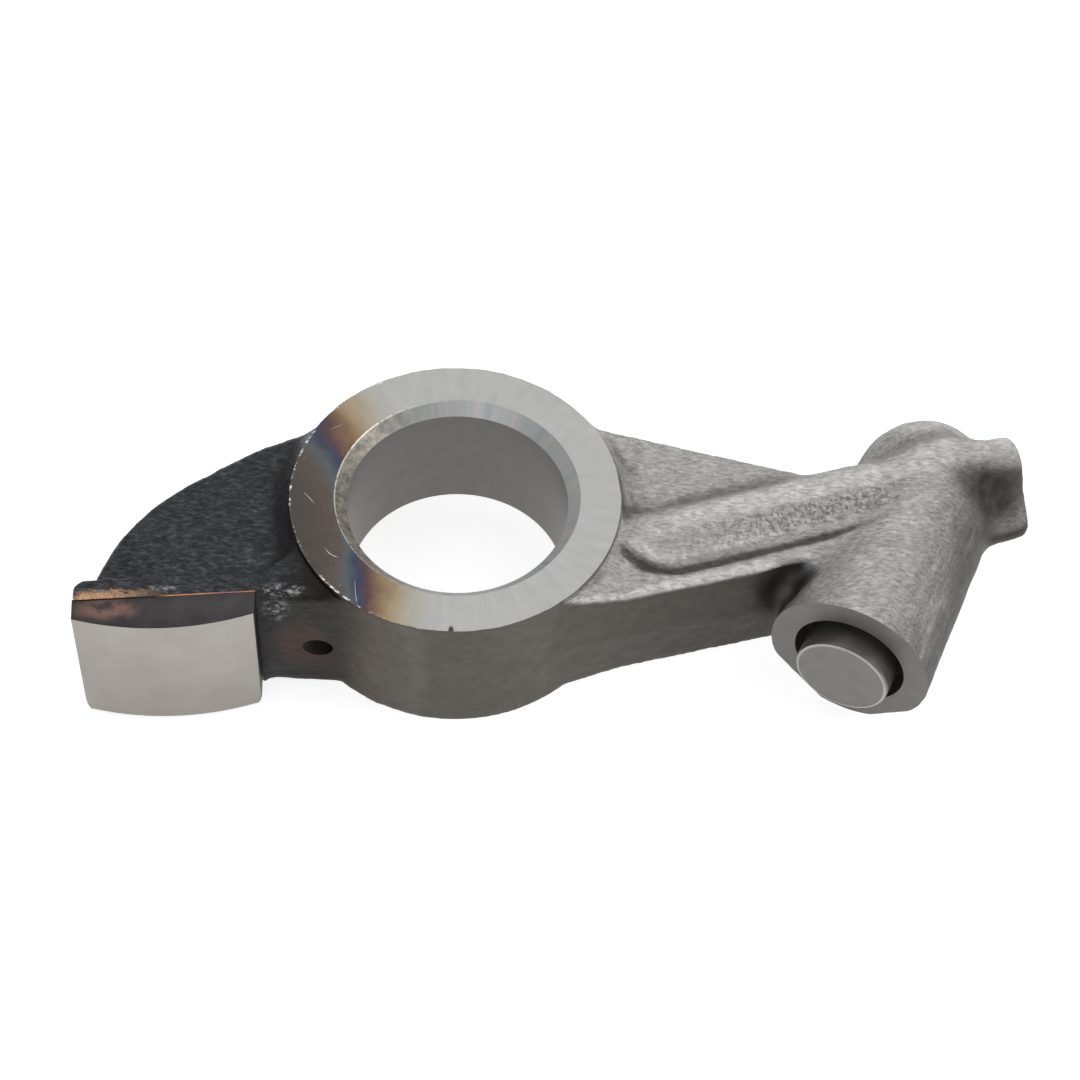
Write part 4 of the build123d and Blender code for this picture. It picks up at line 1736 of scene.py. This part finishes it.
    def build(self) -> list[Piece]:
        """Makes and dresses the forging.

        Returns:
            The forging, as a list of one piece.
        """
        forging = self.blank()
        self.roughen(forging)
        forging.data.materials.append(ForgedSkin().build())
        Workshop.cut(forging, self.tools(), Cut.AWAY)
        skin = Skin(forging.data)
        skin.mark("facing", skin.facing())
        skin.patch("hollow", self.patch_passes)
        Workshop.finish(forging, "arm", Slot.FORGING, ["rocker_arm"])
        return [forging]


@dataclass(frozen=True)
class CamPad:
    """The cam pad and the copper that holds it."""

    half: float = 7.0
    braze: float = 0.12
    corner_r: float = 1.5
    edge: float = 0.09
    face: Bend = ((-32.75, -15.33), (-24.6, -15.84), (-16.98, -13.85))
    seat_left: Point = (-32.95, -13.3)
    seat_right: Point = (-17.1, -11.42)
    seam_short: float = 0.02  # how far the copper ends inside the pad
    ripples: int = 60
    ripple_band: float = 0.1
    ripple_height: float = 0.05
    ripple_density: float = 1.5

    def seat(self, out: float, short: float) -> tuple[Point, Point]:
        """The seat's two ends.

        Args:
            out: How far they are moved out of the arm.
            short: How much shorter the seat is at each end.

        Returns:
            The left and the right end.
        """
        left, right = Vector(self.seat_left), Vector(self.seat_right)
        run = (right - left).normalized()
        outward = Vector((run.y, -run.x))
        return tuple(left + outward * out + run * short), tuple(right + outward * out - run * short)

    def on_seat(self, point: Vector) -> bool:
        """Whether a point of the pad lies on its braze plane.

        Args:
            point: The point.

        Returns:
            True if it does.
        """
        left, right = (Vector(end) for end in self.seat(self.braze, 0.0))
        run = (right - left).normalized()
        return abs((point.xy - left).cross(run)) < CLOSE

    def lower_corners(self, shape: Shape) -> list[bmesh.types.BMEdge]:
        """Edges from the face to the seat on the pad's lower side.

        Args:
            shape: The pad with sharp edges.

        Returns:
            The edges.
        """
        low = [edge for edge in shape.edges if all(abs(end.co.z + self.half) < CLOSE for end in edge.verts)]
        return [edge for edge in low if {self.on_seat(end.co) for end in edge.verts} == {True, False}]

    def pad(self) -> Piece:
        """The pad: a crowned face, with its two lower corners rounded.

        Returns:
            The finished piece.
        """
        left, right = self.seat(self.braze, 0.0)
        shape = plate(arc_through(*self.face, 40) + [right, left], self.half, 0.0)
        bevel = {"affect": "EDGES", "profile": 0.5, "material": -1}
        bmesh.ops.bevel(shape, geom=self.lower_corners(shape), offset=self.corner_r, segments=10, **bevel)
        bmesh.ops.dissolve_limit(shape, angle_limit=math.radians(0.5), verts=shape.verts, edges=shape.edges)
        sharp = [edge for edge in shape.edges if edge.calc_face_angle(0) > math.radians(40)]
        bmesh.ops.bevel(shape, geom=sharp, offset=self.edge, segments=2, **bevel)
        pad = Workshop.place(shape, "cam_pad_piece", GroundFace().build())
        pad.data.materials.append(ScorchedFlank().build())
        for face in pad.data.polygons:
            face.material_index = 0 if face.normal.y < -0.8 else 1
        Workshop.finish(pad, "arm", Slot.PAD, ["cam_pad"], crisp=30.0)
        return pad

    def seam(self) -> Piece:
        """The copper, uneven along its edges.

        Returns:
            The finished piece.
        """
        left, right = self.seat(0.0, self.seam_short)
        low_left, low_right = self.seat(self.braze, self.seam_short)
        shape = plate([low_left, low_right, right, left], self.half - self.seam_short, 0.0)
        long_edges = [edge for edge in shape.edges if edge.calc_length() > 1.0]
        bmesh.ops.subdivide_edges(shape, edges=long_edges, cuts=self.ripples, use_grid_fill=True)
        for vertex in shape.verts:
            if abs(vertex.co.z) > self.half - self.ripple_band:
                ripple = self.ripple_height * noise.noise(vertex.co * self.ripple_density)
                vertex.co.z += math.copysign(ripple, vertex.co.z)
        seam = Workshop.place(shape, "copper_seam_piece", CopperSeam().build())
        Workshop.finish(seam, "arm", Slot.BRAZE, ["braze_seam"])
        return seam

    def build(self) -> list[Piece]:
        """Makes and dresses the pad and its seam."""
        return [self.pad(), self.seam()]


@dataclass
class LashAdjuster:
    """The lash adjuster: its body and springs are remade, and the other pieces inside keep their solids."""

    mouth: Point = (35.68, -11.32)
    angle: float = 23.4
    nose_r: float = 4.35
    nose_out: float = 2.03
    bevel: float = 0.3
    bevel_share: float = 0.3  # share of the bevel that its small outer face takes
    shoulder: float = 1.6
    body_r: float = 5.17
    groove: tuple[float, float, float] = (8.5, 9.7, 4.3)  # start, end and radius of the ring's groove
    top: float = 13.6
    inner_r: float = 3.8
    floor: float = 0.3
    retainer: tuple[float, float, float] = (12.18, 12.72, 4.17)  # of the groove that the retainer sits in
    springs: tuple[Spring, ...] = (
        Spring("plunger_spring", 2.75, 0.25, 0.57, 4.66, 4, ("adjuster", "arm")),
        Spring("check_spring", 0.7, 0.1, 2.82, 3.75, 3, ("arm", "check_valve")),
    )

    def __post_init__(self) -> None:
        """Works out the directions of the bore."""
        self.inward = leaning(self.angle)
        self.side = rightwards(self.inward)
        self.mouth_centre = Vector((*self.mouth, 0))

    def profile(self) -> list[Point]:
        """Half section of the body.

        Returns:
            Radius and depth from the mouth of each corner.
        """
        rise = self.body_r - self.nose_r
        start, end, depth = self.groove
        low, high, out = self.retainer
        small = self.bevel * self.bevel_share
        return [
            (0, -self.nose_out),
            (self.nose_r - self.bevel, -self.nose_out),
            (self.nose_r - small, -self.nose_out + small),
            (self.nose_r, -self.nose_out + self.bevel),
            (self.nose_r, self.shoulder),
            (self.body_r, self.shoulder + rise),
            (self.body_r, start),
            (depth, start),
            (depth, end),
            (self.body_r, end),
            (self.body_r, self.top),
            (self.inner_r, self.top),
            (self.inner_r, high),
            (out, high),
            (out, low),
            (self.inner_r, low),
            (self.inner_r, self.floor),
            (0, self.floor),
        ]

    def body(self) -> Piece:
        """The body, whose closed end is the nose in the boss's mouth.

        Returns:
            The finished piece.
        """
        steel = BoredSteel("nose_steel", (0.19, 0.183, 0.174), 0.36, 0.75).build()
        shape = turned(self.profile(), self.mouth_centre, self.side, self.inward, 144)
        body = Workshop.place(shape, "adjuster_body_piece", steel)
        body.data.materials.append(BoredSteel("nose_bevel", (0.36, 0.35, 0.34), 0.28).build())
        start, end = CLOSE - self.nose_out, self.bevel * self.bevel_share - self.nose_out
        for face in body.data.polygons:
            depth = (face.center - self.mouth_centre).dot(self.inward)
            face.material_index = 1 if start < depth < end else 0
        Workshop.finish(body, "adjuster", Slot.ADJUSTER, ["adjuster_body"], crisp=20.0)
        return body

    def dress_inside(self, wire: Material) -> None:
        """Gives the pieces that keep their solids their finishes.

        Args:
            wire: Finish of the springs, which the retainer and the cage share.
        """
        ball = PlainFinish("polished_ball", (0.55, 0.55, 0.56), 1.0, 0.15).build()
        ground = PlainFinish("ground_plunger", (0.45, 0.45, 0.44), 0.9, 0.30).build()
        rubber = PlainFinish("seal_rubber", (0.02, 0.02, 0.02), 0.0, 0.6).build()
        finishes = {
            "plunger_retainer": wire,
            "ball_cage": wire,
            "gallery_plug": ball,
            "check_ball": ball,
            "adjuster_plunger": ground,
            "seal_ring": rubber,
        }
        for node, finish in finishes.items():
            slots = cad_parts[node].data.materials
            slots.clear()
            slots.append(finish)

    def spring(self, spring: Spring, wire: Material) -> Piece:
        """One of the springs, between the two pieces that it presses on.

        Args:
            spring: Its sizes.
            wire: Its finish.

        Returns:
            The finished piece.
        """
        start = self.mouth_centre + self.inward * (spring.start + spring.wire)
        end = self.mouth_centre + self.inward * (spring.end - spring.wire)
        shape = coil(spring, self.mouth_centre, self.side, self.inward)
        piece = Workshop.place(shape, f"{spring.name}_piece", wire)
        near, far = spring.bodies
        Workshop.finish(piece, near, Slot.SPRING, [spring.name], far_end=(far, start, end))
        return piece

    def build(self) -> list[Piece]:
        """Makes the body and the springs and dresses the inside.

        Returns:
            The new pieces.
        """
        wire = PlainFinish("spring_wire", (0.42, 0.41, 0.40), 0.9, 0.35).build()
        self.dress_inside(wire)
        return [self.body()] + [self.spring(spring, wire) for spring in self.springs]


@dataclass(frozen=True)
class Lamp:
    """Soft square lamp that faces the arm."""

    name: str
    place: Spot
    size: float
    power: float  # in watts

    def build(self) -> None:
        """Sets up the lamp."""
        light = bpy.data.lights.new(self.name, "AREA")
        light.shape = "SQUARE"
        light.size = self.size * MM
        light.energy = self.power
        lamp = bpy.data.objects.new(self.name, light)
        spot = Vector(self.place) * MM
        lamp.matrix_world = Matrix.Translation(spot) @ spot.to_track_quat("Z", "Y").to_matrix().to_4x4()
        bpy.context.scene.collection.objects.link(lamp)


@dataclass(frozen=True)
class Studio:
    """Pale floor, soft lamps and the camera."""

    floor_z: float = -7.5
    floor_half: float = 900.0
    floor_colour: Colour = grey(0.62)
    floor_lift: float = 0.8  # light that the floor adds for the camera and for reflections
    sky: Colour = (0.95, 0.97, 1.0)
    sky_strength: float = 0.34
    elevation: float = 53.43
    roll: float = 2.46
    distance: float = 250.0
    aim: Spot = (7.42, -4.03, 7.005)  # to the right and up in the picture, and height over the parting plane
    focal_pixels: float = 2780.3
    image_pixels: float = 1080.0
    sensor: float = 36.0
    nearest: float = 0.01
    lamps: tuple[Lamp, ...] = (
        Lamp("top_lamp", (100, 520, 860), 1100, 4.4),
        Lamp("right_lamp", (900, -100, 500), 500, 2.4),
        Lamp("front_lamp", (-330, -740, 560), 600, 1.2),
    )

    def camera(self) -> None:
        """Camera at the photograph's angle."""
        lift, turn = math.radians(self.elevation), math.radians(self.roll)
        back = Vector((0, -math.cos(lift), math.sin(lift)))
        up = back.cross(RIGHT)
        image_x = RIGHT * math.cos(turn) + up * math.sin(turn)
        image_y = up * math.cos(turn) - RIGHT * math.sin(turn)
        across, upwards, height = self.aim
        place = UP * height + image_x * across + image_y * upwards + back * self.distance
        camera = bpy.data.cameras.new("camera")
        camera.sensor_width = self.sensor
        camera.lens = self.focal_pixels / self.image_pixels * self.sensor
        camera.clip_start = self.nearest
        seat = bpy.data.objects.new("camera", camera)
        turned_to_view = Matrix((image_x, image_y, back)).transposed().to_4x4()
        seat.matrix_world = Matrix.Translation(place * MM) @ turned_to_view
        bpy.context.scene.collection.objects.link(seat)
        bpy.context.scene.camera = seat

    def floor(self) -> None:
        """Pale floor that the camera and reflections see as white; its shadow stays."""
        shape = bmesh.new()
        bmesh.ops.create_grid(shape, x_segments=1, y_segments=1, size=self.floor_half)
        bmesh.ops.translate(shape, verts=shape.verts, vec=(0, 0, self.floor_z))
        c = Canvas("floor_paper")
        c.shade(Base_Color=self.floor_colour, Roughness=0.9)
        path = c.node("ShaderNodeLightPath")
        seen = c.math("MAXIMUM", path.outputs["Is Camera Ray"], path.outputs["Is Glossy Ray"])
        seen = c.math("MAXIMUM", seen, path.outputs["Is Transmission Ray"])
        lift = c.product(seen, self.floor_lift)
        white = c.node("ShaderNodeEmission", {"Color": WHITE, "Strength": lift})
        blend = c.node("ShaderNodeAddShader", {0: c.shader.outputs[0], 1: white.outputs[0]})
        c.tree.links.new(blend.outputs[0], c.tree.nodes["Material Output"].inputs["Surface"])
        floor = Workshop.place(shape, "floor", c.material)
        floor.data.transform(Matrix.Scale(MM, 4))

    def world(self) -> None:
        """Plain, even surround light, a little blue."""
        world = bpy.data.worlds.new("studio")
        world.use_nodes = True
        soft = world.node_tree.nodes["Background"]
        soft.inputs["Color"].default_value = (*self.sky, 1.0)
        soft.inputs["Strength"].default_value = self.sky_strength
        bpy.context.scene.world = world

    def build(self) -> None:
        """Sets up the studio."""
        bpy.context.scene.view_settings.view_transform = "Standard"
        self.camera()
        self.floor()
        self.world()
        for lamp in self.lamps:
            lamp.build()


def main() -> None:
    """Builds the dressed rocker arm and its studio, and reports each piece."""
    logging.basicConfig(level=logging.INFO, format="%(asctime)s %(message)s")
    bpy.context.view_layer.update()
    for part in (RockerForging(), CamPad(), LashAdjuster()):
        for piece in part.build():
            LOG.info("%s: %d faces", piece.name, len(piece.data.polygons))
    Studio().build()


if __name__ == "__main__":
    main()
